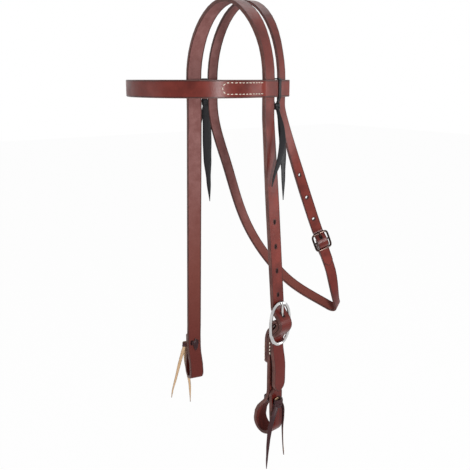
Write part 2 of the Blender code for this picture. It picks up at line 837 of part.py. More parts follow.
def make_frame(name, buckle, seat, finish):
    """A buckle's rim with its centre bar."""
    count = 40
    half_width = (buckle.width - buckle.rim) / 2.0
    points = []
    for step in range(count):
        angle = 2.0 * math.pi * step / count
        power = 2.0 / buckle.fullness
        across = math.copysign(abs(math.cos(angle)) ** power, math.cos(angle)) * half_width
        up = math.copysign(abs(math.sin(angle)) ** power, math.sin(angle)) * buckle.rail
        points.append(Vector((across, 0.0, up)))
    mesh = curve_mesh(name, points, [buckle.rim / 2.0] * count, 2, cyclic=True)
    mesh.transform(Matrix.Diagonal((1.0, buckle.rim_thickness / buckle.rim, 1.0, 1.0)))
    mesh.transform(seat.matrix())
    shade(mesh)
    part = add_part(name, mesh, finish)
    ends = [Vector((side * half_width, 0.0, 0.0)) for side in (OFF, NEAR)]
    bar = curve_mesh(f"{name}_bar", ends, [buckle.bar] * 2, 3)
    bar.transform(seat.matrix())
    boolean(part, add_cutter(f"{name}_bar", bar), "UNION")
    return part


def make_tongue(name, buckle, seat, finish):
    """A buckle's tongue: an eye round the bar and a shank that rests on the top rail."""
    radius = buckle.bar + LAYER_GAP + buckle.tongue
    turns = 14
    eye = []
    for step in range(turns):
        angle = 2.0 * math.pi * step / turns
        eye.append(Vector((0.0, math.cos(angle), math.sin(angle))) * radius)
    mesh = curve_mesh(name, eye, [buckle.tongue] * turns, 2, cyclic=True)
    mesh.transform(seat.matrix())
    part = add_part(name, mesh, finish)
    top = buckle.height / 2.0 + TONGUE_OVERHANG
    steps = 8
    shank, radii = [], []
    for step in range(steps + 1):
        share = step / steps
        shank.append(Vector((0.0, mix(radius, buckle.tongue_out, smooth(share)), top * share)))
        radii.append(buckle.tongue * mix(1.0, SHANK_TIP_SHARE, share**3))
    body = curve_mesh(f"{name}_shank", shank, radii, 2)
    body.transform(seat.matrix())
    boolean(part, add_cutter(f"{name}_shank", body), "UNION")
    return part


def browband_spine():
    """Plan line of the browband's front, from the near loop to the off loop."""
    start_along = loop_start()
    points = []
    ends = []
    for side, toe in ((NEAR, NEAR_TOE), (OFF, OFF_TOE)):
        front = Vector((side * math.sin(toe), -math.cos(toe)))
        ends.append((Vector((side * ARCH_HALF_SPAN, 0.0)) + front * start_along, front))
    (near, near_front), (off, off_front) = ends
    middle = Vector((0.0, -BROWBAND_REACH))
    across = Vector((BROWBAND_FRONT_HANDLE_LENGTH, 0.0))
    points.append(near)
    points += bezier(near, near + near_front * BROWBAND_SIDE_HANDLE_LENGTH, middle + across, middle)
    points += bezier(middle, middle - across, off + off_front * BROWBAND_SIDE_HANDLE_LENGTH, off)
    return points


def loop_start():
    """Distance in front of the crown strap's middle at which a loop's two layers meet."""
    return MAIN_WIDTH / 2.0 + LOOP_END_ROOM + LOOP_RAMP


def pinch_place():
    """Where the tie pinches a loop between its two straps, and how far the pinch reaches each way."""
    start, end = MAIN_WIDTH / 2.0, STRAP_SPACING - THROAT_WIDTH / 2.0
    return (start + end) / 2.0, (end - start) / 2.0


def pinch_out(along):
    """How far out a loop's layers lie, this far from the middle of the pinch."""
    clear = MAIN_THICKNESS / 2.0 + STRAP_GAP + BROWBAND_THICKNESS / 2.0
    closed = BROWBAND_THICKNESS / 2.0 + LAYER_GAP
    dip = (1.0 + math.cos(math.pi * along / pinch_place()[1])) / 2.0
    return mix(clear, closed, dip)


def loop_outer():
    """Offsets of a loop's outer layer: how far back along the loop, and how far out."""
    clear = MAIN_THICKNESS / 2.0 + STRAP_GAP + BROWBAND_THICKNESS / 2.0
    closed = (BROWBAND_THICKNESS + LAYER_GAP) / 2.0
    front = -(MAIN_WIDTH / 2.0 + LOOP_END_ROOM)
    pinch, room = pinch_place()
    back = STRAP_SPACING + THROAT_WIDTH / 2.0 + LOOP_END_ROOM
    outline = []
    steps = 5
    for step in range(steps + 1):
        share = step / steps
        outline.append((mix(-loop_start(), front, share), mix(closed, clear, smooth(share))))
    steps = 8
    for step in range(steps + 1):
        along = mix(-room, room, step / steps)
        outline.append((pinch + along, pinch_out(along)))
    steps = 3
    for step in range(1, steps + 1):
        outline.append((mix(pinch + room, back, step / steps), clear))
    turns = 8
    for step in range(1, turns // 2 + 1):
        angle = math.pi * step / turns
        outline.append((back + clear * math.sin(angle), clear * math.cos(angle)))
    return outline


def loop_plan(side):
    """Plan points of one loop's outer layer from its front to its fold, and of its inner layer back."""
    toe = NEAR_TOE if side > 0 else OFF_TOE
    front = Vector((side * math.sin(toe), -math.cos(toe)))
    out = Vector((side * math.cos(toe), math.sin(toe)))
    middle = Vector((side * ARCH_HALF_SPAN, 0.0))
    outline = loop_outer()
    outer = [middle - front * along + out * away for along, away in outline]
    inner = [middle - front * along - out * away for along, away in reversed(outline[:-1])]
    return outer, inner


def browband_ribbon():
    """Route of the browband, from the near tab's tip to the off tab's tip."""
    closed = (BROWBAND_THICKNESS + LAYER_GAP) / 2.0
    spine = browband_spine()
    outer = offset_line(spine, [-closed] * len(spine))
    inner = offset_line(spine, [closed] * len(spine))
    tabs = []
    for line in (inner, inner[::-1]):
        tab, length = [line[0]], 0.0
        for point in line[1:]:
            length += (point - tab[-1]).length
            if length > BROWBAND_TAB:
                break
            tab.append(point)
        tabs.append(tab)
    near_outer, near_inner = loop_plan(NEAR)
    off_outer, off_inner = loop_plan(OFF)
    plan = tabs[0][:0:-1] + near_inner[::-1] + near_outer[::-1]
    plan += outer[1:-1] + off_outer + off_inner + tabs[1][1:]
    ribbon = Ribbon(BROWBAND_WIDTH)
    up = Vector((0.0, 0.0, 1.0))
    for point in plan:
        ribbon.add(Vector((point.x, point.y, -BROWBAND_DROP)), up)
    return ribbon


def make_browband():
    """The browband, each end turned back into a loop round both straps."""
    tip = BROWBAND_TAB_TIP
    return strap("browband", browband_ribbon(), BROWBAND_THICKNESS, CHESTNUT, tip, tip)


def throat_point(side, drop):
    """Centre of the throat strap beside a cheek."""
    return cheek_point(side, drop) - cheek_front(side, drop) * STRAP_SPACING


def throat_ribbon():
    """Route of the throat strap, from its fold at the buckle, under the throat and back to the billet."""
    ribbon = Ribbon(THROAT_WIDTH)
    seat = throat_buckle_seat()
    travel = -seat.up
    reach = THROAT_TAIL + THROAT_TIP / 2.0
    line = THROAT_BUCKLE.fold_line(THROAT_FOLD_BACK, THROAT_CLOSING, reach)
    add_line(ribbon, seat, line)
    start = ribbon.points[-1]
    bend = Vector((THROAT_BEND_OUT, THROAT_BEND_BACK, -THROAT_BEND_DROP))
    down = leaning(THROAT_BEND_LEAN, THROAT_BEND_INSET)
    grain = Vector((math.cos(THROAT_BEND_TWIST), math.sin(THROAT_BEND_TWIST), 0.0))
    axis = down.cross(grain).normalized()
    handle = THROAT_RUN_HANDLE_LENGTH
    run = bezier(start, start + travel * handle, bend - down * handle, bend)
    for index, point in enumerate(run):
        ribbon.add(point, seat.front.lerp(axis, smooth((index + 1) / len(run))))
    turns = 12
    heading, place = down.copy(), bend.copy()
    turn = Matrix.Rotation(-THROAT_BEND_TURN / turns, 3, axis)
    for _ in range(turns):
        heading = turn @ heading
        place = place + heading * (THROAT_BEND_RADIUS * THROAT_BEND_TURN / turns)
        ribbon.add(place, axis)
    off = throat_point(OFF, THROAT_PLUMB_DROP)
    places = [Vector((out, back, -drop)) for out, back, drop in THROAT_RETURN_SHARES]
    places = [place * THROAT_RETURN_DROP for place in places]
    back = through([place, *places, off], heading, Vector((0.0, 0.0, 1.0)))
    end_front = cheek_front(OFF, THROAT_PLUMB_DROP)
    for index, point in enumerate(back):
        ribbon.add(point, axis.lerp(end_front, smooth((index + 1) / len(back))))
    ribbon.add(throat_point(OFF, mix(THROAT_PLUMB_DROP, THROAT_RISE, 0.5)), end_front)
    span = abs(throat_point(NEAR, THROAT_RISE).x)
    off_span = abs(throat_point(OFF, THROAT_RISE).x)
    for point, front in arch(1.0, THROAT_RISE, THROAT_LIFT + THROAT_THICKNESS / 2.0, STRAP_SPACING):
        point.x *= span if point.x > 0 else off_span
        ribbon.add(point, front)
    near_front = cheek_front(NEAR, THROAT_PLUMB_DROP)
    near = throat_point(NEAR, THROAT_PLUMB_DROP)
    ribbon.add(throat_point(NEAR, mix(THROAT_PLUMB_DROP, THROAT_RISE, 0.5)), near_front)
    ribbon.add(near, near_front)
    top = seat.at(THROAT_BUCKLE.under, THROAT_BUCKLE.half)
    handle = THROAT_NEAR_HANDLE_LENGTH
    above = top - travel * THROAT_FALL_HANDLE_LENGTH
    fall = bezier(near, near - Vector((0.0, 0.0, handle)), above, top)
    for index, point in enumerate(fall):
        ribbon.add(point, near_front.lerp(seat.front, smooth((index + 1) / len(fall))))
    add_line(ribbon, seat, THROAT_BUCKLE.billet_line(THROAT_BUCKLE.half, -THROAT_BUCKLE.half))
    count = 4
    for step in range(1, count + 1):
        below = mix(THROAT_BUCKLE.half, THROAT_TAIL, step / count)
        ribbon.add(seat.at(THROAT_BUCKLE.under, -below), seat.front)
    return ribbon


def make_throat_strap():
    """The throat strap, both of its ends at the throat buckle."""
    ribbon = throat_ribbon()
    tip = THROAT_TIP
    part = strap("throat_strap", ribbon, THROAT_THICKNESS, CHESTNUT, tip, tip, THROAT_EDGE_ROUND)
    seat = throat_buckle_seat()
    used = hole_distance(ribbon, seat, THROAT_BUCKLE)
    for index in range(1, THROAT_HOLES_ABOVE + 1):
        placed = ribbon.matrix_at(used - index * THROAT_HOLE_PITCH)
        width = 2.0 * THROAT_HOLE_RADIUS
        depth = THROAT_THICKNESS + OVERRUN
        cutter = oblong(f"throat_hole_{index}", width, width, depth, placed)
        boolean(part, cutter, "DIFFERENCE")
    cut_tongue_hole(part, "throat_tongue_hole", THROAT_BUCKLE, seat)
    reach = THROAT_BAR_RADIUS + LAYER_GAP + 2.0 * THROAT_TONGUE_RADIUS + LAYER_GAP
    width = 2.0 * (THROAT_TONGUE_RADIUS + TONGUE_SIDE_GAP)
    height = reach + OVERRUN / 2.0
    size = (width, 2.0 * reach, reach + height)
    middle = seat.matrix() @ Matrix.Translation((0.0, 0.0, (height - reach) / 2.0))
    boolean(part, box("throat_tongue_slot", size, middle), "DIFFERENCE")
    return part


def tail_widths(ribbon, narrow, leaf, tip):
    """Half widths of a lace's tail: narrow at the knot, a leaf lower down and a point at its end."""
    distances = ribbon.distances()
    total = distances[-1]
    found = []
    for distance in distances:
        swell = smooth(distance / (total * LEAF_SHARE))
        width = mix(narrow, leaf, swell)
        left = total - distance
        if left < tip:
            width = max(width * left / tip, TAIL_POINT_WIDTH)
        found.append(width / 2.0)
    return found


def tail(name, start, travel, lean, seat, widths, thickness):
    """One hanging tail of a lace, as a mesh to be joined to its knot."""
    forward, out, drop = travel
    narrow, leaf, tip = widths
    ribbon = Ribbon(leaf)
    count = max(8, round(drop / STATION_STEP))
    for step in range(count + 1):
        share = step / count
        point = start + seat.front * (-forward * share) + seat.grain * (out * math.sin(share * math.pi / 2.0))
        point.z = start.z - drop * share
        ribbon.add(point, seat.front + seat.up * (lean * (1.0 - share)))
    mesh = ribbon.mesh(name, tail_widths(ribbon, narrow, leaf, tip))
    piece = add_cutter(name, mesh)
    thicken(piece, thickness, EDGE_ROUND / 2.0)
    return piece


def knot_depth(radius, thickness):
    """Half a knot's depth from its outer to its inner side."""
    return max(radius * KNOT_FLATNESS_SHARE, (radius - thickness) * KNOT_FLATNESS_SHARE + thickness)


def knot_ball(name, placed, radius, flatness):
    """The pulled-tight body of a knot."""
    shape = bmesh.new()
    turned = Matrix.Rotation(KNOT_TURN, 4, "X") @ Matrix.Rotation(KNOT_TURN, 4, "Y")
    squash = Matrix.Diagonal((1.0, flatness, 1.0, 1.0))
    bmesh.ops.create_icosphere(shape, subdivisions=2, radius=radius, matrix=placed @ squash @ turned)
    mesh = bpy.data.meshes.new(name)
    shape.to_mesh(mesh)
    shape.free()
    return add_cutter(name, mesh)


def knot_turn(name, placed, radius, thickness):
    """The turn that lies slantwise over a knot."""
    count = 16
    points = []
    for step in range(count):
        angle = 2.0 * math.pi * step / count
        across = Vector((math.cos(angle), math.sin(angle) * KNOT_FLATNESS_SHARE, 0.0))
        points.append(across * radius)
    mesh = curve_mesh(name, points, [thickness] * count, 1, cyclic=True)
    mesh.transform(placed @ Matrix.Rotation(KNOT_TILT, 4, "Y"))
    return add_cutter(name, mesh)


def make_tie(name, ring, ring_size, knot_at, seat, tails, knot, widths, finish):
    """A lace: the turn that holds the strap, its knot and two hanging tails."""
    width, thickness = ring_size
    tail_length, tail_shares = tails
    part = add_part(name, ring.mesh(name, [width / 2.0] * len(ring.points)), finish)
    thicken(part, thickness, EDGE_ROUND / 2.0)
    radius, wire = knot
    placed = seat.matrix().copy()
    placed.translation = knot_at
    boolean(part, knot_ball(f"{name}_knot", placed, radius, KNOT_FLATNESS_SHARE), "UNION")
    boolean(part, knot_turn(f"{name}_turn", placed, radius - wire, wire), "UNION")
    for index, shares in enumerate(tail_shares):
        travel = [share * tail_length for share in shares]
        lean = TAIL_LEAN_SHARE * (1.0 - 2.0 * index)
        start = knot_at + seat.grain * (TAIL_PARTING * (index + 0.5)) + seat.front * (TAIL_PARTING * lean)
        piece = tail(f"{name}_tail_{index}", start, travel, lean, seat, widths, thickness)
        boolean(part, piece, "UNION")
    return part


def bit_lace_ribbon(seat, inner_side, knot_out):
    """Route of a bit lace: from the knot through one slit, across the inner face and back."""
    ribbon = Ribbon(BIT_LACE_WIDTH)
    inner = inner_side - 2.0 * LAYER_GAP - BIT_LACE_THICKNESS / 2.0
    half = LACE_HOLE_SPREAD / 2.0
    corner = BIT_LACE_THICKNESS / 2.0 + LAYER_GAP
    route = [
        (0.0, knot_out),
        (half - corner, knot_out - corner),
        (half, knot_out - 2.0 * corner),
        (half, inner + 2.0 * corner),
        (half - corner / 2.0, inner + corner / 2.0),
        (half - 2.0 * corner, inner),
        (-half + 2.0 * corner, inner),
        (-half + corner / 2.0, inner + corner / 2.0),
        (-half, inner + 2.0 * corner),
        (-half, knot_out - 2.0 * corner),
        (-half + corner, knot_out - corner),
        (0.0, knot_out),
    ]
    for along, out in route[:-1]:
        ribbon.add(seat.at(out, 0.0, along), seat.up)
    return ribbon


def make_bit_tie(name, seat, loop, thickness, tails):
    """The lace that closes a bit loop."""
    inner_side, outer = loop.lace_span(thickness)
    knot_out = outer + LAYER_GAP + knot_depth(BIT_KNOT_RADIUS, BIT_KNOT_THICKNESS)
    ring = bit_lace_ribbon(seat, inner_side, knot_out)
    knot_at = seat.at(knot_out, 0.0)
    knot = (BIT_KNOT_RADIUS, BIT_KNOT_THICKNESS)
    widths = (BIT_LACE_WIDTH, BIT_LACE_WIDTH, BIT_LACE_TIP)
    size = (BIT_LACE_WIDTH, BIT_LACE_THICKNESS)
    return make_tie(name, ring, size, knot_at, seat, tails, knot, widths, LACE_LEATHER)


def browband_tie_seat(side):
    """Seat between the two straps of a browband loop, at the loop's middle height."""
    drop = BROWBAND_DROP
    seat = cheek_seat(side, drop, drop)
    seat.origin = seat.origin - seat.front * pinch_place()[0]
    return seat


def make_browband_tie(name, side, tails):
    """The black lace round a browband loop, with its knot below and its two tails."""
    seat = browband_tie_seat(side)
    lies_on = pinch_out(TIE_WIDTH / 2.0) + BROWBAND_THICKNESS / 2.0
    out = lies_on + TIE_RING_GAP + TIE_THICKNESS / 2.0
    high = BROWBAND_WIDTH / 2.0 + TIE_RING_GAP + TIE_THICKNESS / 2.0
    corner = TIE_THICKNESS
    low = high + TIE_KNOT_BELOW
    ring = Ribbon(TIE_WIDTH)
    route = [
        (-TIE_THICKNESS / 2.0, -low),
        (-out, -high + corner),
        (-out, high - corner),
        (-out + corner, high),
        (out - corner, high),
        (out, high - corner),
        (out, -high + corner),
        (TIE_THICKNESS / 2.0, -low),
    ]
    for away, height in route:
        ring.add(seat.at(away, height), seat.front)
    knot_at = seat.at(0.0, -low)
    knot = (TIE_KNOT_RADIUS, TIE_KNOT_THICKNESS)
    widths = (TIE_WIDTH, TIE_LEAF_WIDTH, TIE_TIP)
    size = (TIE_WIDTH, TIE_THICKNESS)
    return make_tie(name, ring, size, knot_at, seat, tails, knot, widths, BLACK_LEATHER)


def main():
    """Builds the headstall."""
    clear_scene()
    make_crown_strap()
    make_throat_strap()
    make_browband()
    make_near_cheekpiece()
    cheek = cheek_buckle_seat()
    make_frame("cheek_buckle_frame", CHEEK_BUCKLE, cheek, STAINLESS)
    make_tongue("cheek_buckle_tongue", CHEEK_BUCKLE, cheek, STAINLESS)
    throat = throat_buckle_seat()
    make_frame("throat_buckle_frame", THROAT_BUCKLE, throat, ANTIQUE)
    make_tongue("throat_buckle_tongue", THROAT_BUCKLE, throat, ANTIQUE)
    make_browband_tie("near_browband_tie", NEAR, (TIE_TAIL_LENGTH, NEAR_TIE_TAIL_SHARES))
    make_browband_tie("off_browband_tie", OFF, (TIE_TAIL_LENGTH, OFF_TIE_TAIL_SHARES))
    near_seat, off_seat = near_loop_seat(), off_loop_seat()
    near_tails = (BIT_TAIL_LENGTH, NEAR_BIT_TAIL_SHARES)
    make_bit_tie("near_bit_tie", near_seat, NEAR_LOOP, CHEEKPIECE_THICKNESS, near_tails)
    off_tails = (BIT_TAIL_LENGTH, OFF_BIT_TAIL_SHARES)
    make_bit_tie("off_bit_tie", off_seat, OFF_LOOP, MAIN_THICKNESS, off_tails)


main()
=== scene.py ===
"""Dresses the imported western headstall: oiled leather straps, soft laces, cream thread and two buckles."""

import json
import logging
import math
from collections import deque
from dataclasses import dataclass
from enum import Enum
from typing import Callable, Optional, Sequence, Union

import bmesh
import bpy
from bmesh.types import BMEdge, BMesh, BMFace
from bpy.types import Material, Node, NodeOutputs, NodeTree, Object, World
from bpy.types import NodeSocket as Socket
from mathutils import Matrix, Vector
from mathutils.bvhtree import BVHTree
from mathutils.kdtree import KDTree


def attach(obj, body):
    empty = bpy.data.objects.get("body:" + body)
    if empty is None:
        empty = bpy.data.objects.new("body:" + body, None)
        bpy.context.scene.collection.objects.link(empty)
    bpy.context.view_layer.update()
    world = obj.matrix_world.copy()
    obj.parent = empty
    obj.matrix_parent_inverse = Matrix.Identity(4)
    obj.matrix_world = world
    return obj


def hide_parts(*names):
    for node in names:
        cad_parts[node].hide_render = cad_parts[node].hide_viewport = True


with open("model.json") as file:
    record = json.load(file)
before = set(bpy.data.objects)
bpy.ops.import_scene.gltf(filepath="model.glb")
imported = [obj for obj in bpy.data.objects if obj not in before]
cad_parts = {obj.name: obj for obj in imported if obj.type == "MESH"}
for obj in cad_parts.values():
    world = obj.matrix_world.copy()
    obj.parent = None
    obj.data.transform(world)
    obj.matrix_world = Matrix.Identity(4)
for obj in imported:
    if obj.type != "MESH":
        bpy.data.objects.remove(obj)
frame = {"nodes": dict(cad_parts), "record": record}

log = logging.getLogger("headstall")

Colour = tuple[float, float, float, float]
Point = tuple[float, float, float]
Given = Union[float, Colour, Point, Socket]

WELD = 0.00001
SIDE_NAME = "side"
RIM_NAME = "rim"
PLY_NAME = "ply"
TURN_NAME = "turn"
BORE_NAME = "bore"
KIND_NAME = "kind"
WALL_NAME = "wall"


def tint(red: float, green: float, blue: float) -> Colour:
    """Linear colour with full alpha."""
    return (red, green, blue, 1.0)


WHITE = tint(1.0, 1.0, 1.0)
UP = (0.0, 0.0, 1.0)


class Face(Enum):
    """Which surface of the leather a face belongs to."""

    FLESH = 0.0
    EDGE = 0.5
    GRAIN = 1.0


class Maker:
    """Small helper that adds and joins nodes in one node tree."""

    def __init__(self, tree: NodeTree) -> None:
        """Keeps the node tree that every call adds to."""
        self.tree = tree

    def add(self, kind: str, inputs: Optional[dict] = None, **settings) -> Node:
        """Adds one node.

        Args:
            kind: Blender's node type name.
            inputs: Values or sockets for the node's inputs, by name or number.
            settings: Attributes of the node.

        Returns:
            The new node.
        """
        node = self.tree.nodes.new(kind)
        for name, value in settings.items():
            setattr(node, name, value)
        for key, value in (inputs or {}).items():
            self.feed(node.inputs[key], value)
        return node

    def feed(self, socket: Socket, value: Given) -> None:
        """Joins a socket to an input, or sets the input's value.

        Args:
            socket: The input.
            value: A socket to join, or the value to set.
        """
        if isinstance(value, Socket):
            self.tree.links.new(value, socket)
        else:
            socket.default_value = value

    def noise(self, at: Socket, scale: Given, detail: float = 2.0, roughness: float = 0.5) -> Socket:
        """Noise between 0 and 1 at a place, by its waves in a metre, its octaves and their roughness."""
        values = {"Vector": at, "Scale": scale, "Detail": detail, "Roughness": roughness}
        return self.add("ShaderNodeTexNoise", values).outputs["Fac"]

    def ramp(self, value: Given, low: float, high: float, to_low: float = 0.0, to_high: float = 1.0) -> Socket:
        """Smooth step from low to high.

        Args:
            value: Socket with the number.
            low: Number that gives to_low.
            high: Number that gives to_high.
            to_low: Result at low.
            to_high: Result at high.

        Returns:
            The result socket.
        """
        names = ("Value", "From Min", "From Max", "To Min", "To Max")
        values = dict(zip(names, (value, low, high, to_low, to_high)))
        return self.add("ShaderNodeMapRange", values, interpolation_type="SMOOTHSTEP").outputs["Result"]

    def math(self, operation: str, first: Given, second: Given = 0.0) -> Socket:
        """Result of Blender's Math operation on one or two numbers."""
        return self.add("ShaderNodeMath", {0: first, 1: second}, operation=operation).outputs[0]

    def mix(self, share: Given, first: Given, second: Given) -> Socket:
        """Mix of two colours, by how much of the second shows."""
        return self.add("ShaderNodeMix", {0: share, 6: first, 7: second}, data_type="RGBA").outputs[2]

    def blend(self, share: Given, first: Given, second: Given) -> Socket:
        """Mix of two numbers, by how much of the second shows."""
        return self.add("ShaderNodeMix", {0: share, 2: first, 3: second}, data_type="FLOAT").outputs[0]

    def attribute(self, name: str) -> Socket:
        """Number that is stored on the mesh under a name."""
        return self.add("ShaderNodeAttribute", attribute_name=name).outputs["Fac"]

    def place(self) -> Socket:
        """Place on the object in metres."""
        return self.add("ShaderNodeTexCoord").outputs["Object"]

    def group(self, tree: NodeTree, **inputs: Given) -> NodeOutputs:
        """Outputs of a shader group that is placed with its own values."""
        return self.add("ShaderNodeGroup", inputs, node_tree=tree).outputs

    def bump(self, shader: Node, height: Socket, strength: float, distance: float) -> None:
        """Gives a shader fine relief, by its strength and its depth in metres."""
        values = {"Height": height, "Strength": strength, "Distance": distance}
        self.feed(shader.inputs["Normal"], self.add("ShaderNodeBump", values).outputs["Normal"])

    def seen(self) -> Socket:
        """Mask that is 1 for the camera and for what metal and glass show."""
        path = self.add("ShaderNodeLightPath").outputs
        direct = self.math("MAXIMUM", path["Is Camera Ray"], path["Is Transmission Ray"])
        return self.math("MAXIMUM", direct, path["Is Glossy Ray"])


def empty_nodes(holder: Union[Material, World]) -> Maker:
    """Clears the nodes of a material or world.

    Args:
        holder: The material or world.

    Returns:
        The maker of its nodes.
    """
    holder.use_nodes = True
    holder.node_tree.nodes.clear()
    return Maker(holder.node_tree)


def shader_group(name: str, numbers: dict[str, float], outputs: Sequence[str], fill: Callable) -> NodeTree:
    """Builds a shader node group that starts from a place and puts out numbers.

    Args:
        name: The group's name.
        numbers: Its number inputs with their starting values.
        outputs: Names of its outputs.
        fill: Function that takes the maker and the input sockets and returns the output sockets.

    Returns:
        The group.
    """
    tree = bpy.data.node_groups.new(name, "ShaderNodeTree")
    tree.interface.new_socket("Place", in_out="INPUT", socket_type="NodeSocketVector")
    for key, value in numbers.items():
        socket = tree.interface.new_socket(key, in_out="INPUT", socket_type="NodeSocketFloat")
        socket.default_value = value
    for key in outputs:
        tree.interface.new_socket(key, in_out="OUTPUT", socket_type="NodeSocketFloat")
    maker = Maker(tree)
    results = fill(maker, maker.add("NodeGroupInput").outputs)
    maker.add("NodeGroupOutput", dict(zip(outputs, results)))
    return tree


class Effects:
    """Shader groups that several finishes use."""

    def __init__(self) -> None:
        """Builds every group once."""
        pores = {"Pebbles": 900.0, "Mottle": 34.0}
        cut = {"Rim": 0.0, "Reach": 0.0012, "Waver": 0.0006}
        self.grain = shader_group("leather_grain", pores, ("Height", "Tone", "Pull"), self.fill_grain)
        self.fibres = shader_group("flesh_fibres", {"Fineness": 700.0}, ("Height", "Tone"), self.fill_fibres)
        self.burnish = shader_group("edge_burnish", cut, ("Mask",), self.fill_burnish)
        self.handling = shader_group("handling_marks", {"Spread": 60.0}, ("Scuffs", "Smears"), self.fill_handling)

    @staticmethod
    def fill_grain(maker: Maker, given: NodeOutputs) -> tuple[Socket, ...]:
        """Fine pebbled grain with a slow mottle.

        Args:
            maker: Maker of the group's nodes.
            given: The group's input sockets.

        Returns:
            Height, tone and pull-up sockets.
        """
        place = given["Place"]
        warp = maker.add("ShaderNodeTexNoise", {"Vector": place, "Scale": 260.0, "Detail": 2.0})
        bent = maker.add(
            "ShaderNodeVectorMath",
            {0: warp.outputs["Color"], 1: (0.0009, 0.0009, 0.0009), 2: place},
            operation="MULTIPLY_ADD",
        )
        values = {"Vector": bent.outputs[0], "Scale": given["Pebbles"]}
        cells = maker.add("ShaderNodeTexVoronoi", values, feature="SMOOTH_F1")
        pebbles = maker.ramp(cells.outputs["Distance"], 0.1, 0.75, 1.0, 0.0)
        fine = maker.noise(place, 2600.0, 3.0)
        height = maker.math("ADD", maker.math("MULTIPLY", pebbles, 0.7), fine)
        tone = maker.ramp(maker.noise(place, given["Mottle"], 4.0, 0.62), 0.3, 0.72)
        pull = maker.ramp(maker.noise(place, 11.0), 0.4, 0.66)
        return height, tone, pull

    @staticmethod
    def fill_fibres(maker: Maker, given: NodeOutputs) -> tuple[Socket, ...]:
        """Short matted fibres of the flesh side.

        Args:
            maker: Maker of the group's nodes.
            given: The group's input sockets.

        Returns:
            Height and tone sockets.
        """
        place = given["Place"]
        fine = maker.noise(place, given["Fineness"], 5.0, 0.7)
        patches = maker.noise(place, 75.0, 3.0, 0.6)
        tone = maker.math("ADD", maker.math("MULTIPLY", fine, 0.55), patches)
        return fine, maker.ramp(tone, 0.5, 1.05)

    @staticmethod
    def fill_burnish(maker: Maker, given: NodeOutputs) -> tuple[Socket, ...]:
        """Band along every cut edge, with an uneven inner border.

        Args:
            maker: Maker of the group's nodes.
            given: The group's input sockets.

        Returns:
            The mask socket.
        """
        waver = maker.math("SUBTRACT", maker.noise(given["Place"], 240.0), 0.5)
        moved = maker.math("ADD", given["Rim"], maker.math("MULTIPLY", waver, given["Waver"]))
        share = maker.math("DIVIDE", moved, given["Reach"])
        return (maker.ramp(share, 0.35, 1.0, 1.0, 0.0),)

    @staticmethod
    def fill_handling(maker: Maker, given: NodeOutputs) -> tuple[Socket, ...]:
        """Small scuffs and broad smears.

        Args:
            maker: Maker of the group's nodes.
            given: The group's input sockets.

        Returns:
            Scuff and smear mask sockets.
        """
        place = given["Place"]
        speck = maker.ramp(maker.noise(place, 420.0, 4.0, 0.7), 0.62, 0.74)
        area = maker.ramp(maker.noise(place, given["Spread"], 3.0), 0.5, 0.66)
        smears = maker.ramp(maker.noise(place, 26.0, 3.0, 0.6), 0.42, 0.68)
        return maker.math("MULTIPLY", speck, area), smears


def new_material(name: str) -> tuple[Material, Maker, Node]:
    """Makes an empty material with its Principled shader.

    Args:
        name: The material's name.

    Returns:
        The material, the maker of its nodes and the shader.
    """
    material = bpy.data.materials.new(name)
    maker = empty_nodes(material)
    shader = maker.add("ShaderNodeBsdfPrincipled")
    maker.add("ShaderNodeOutputMaterial", {"Surface": shader.outputs[0]})
    return material, maker, shader


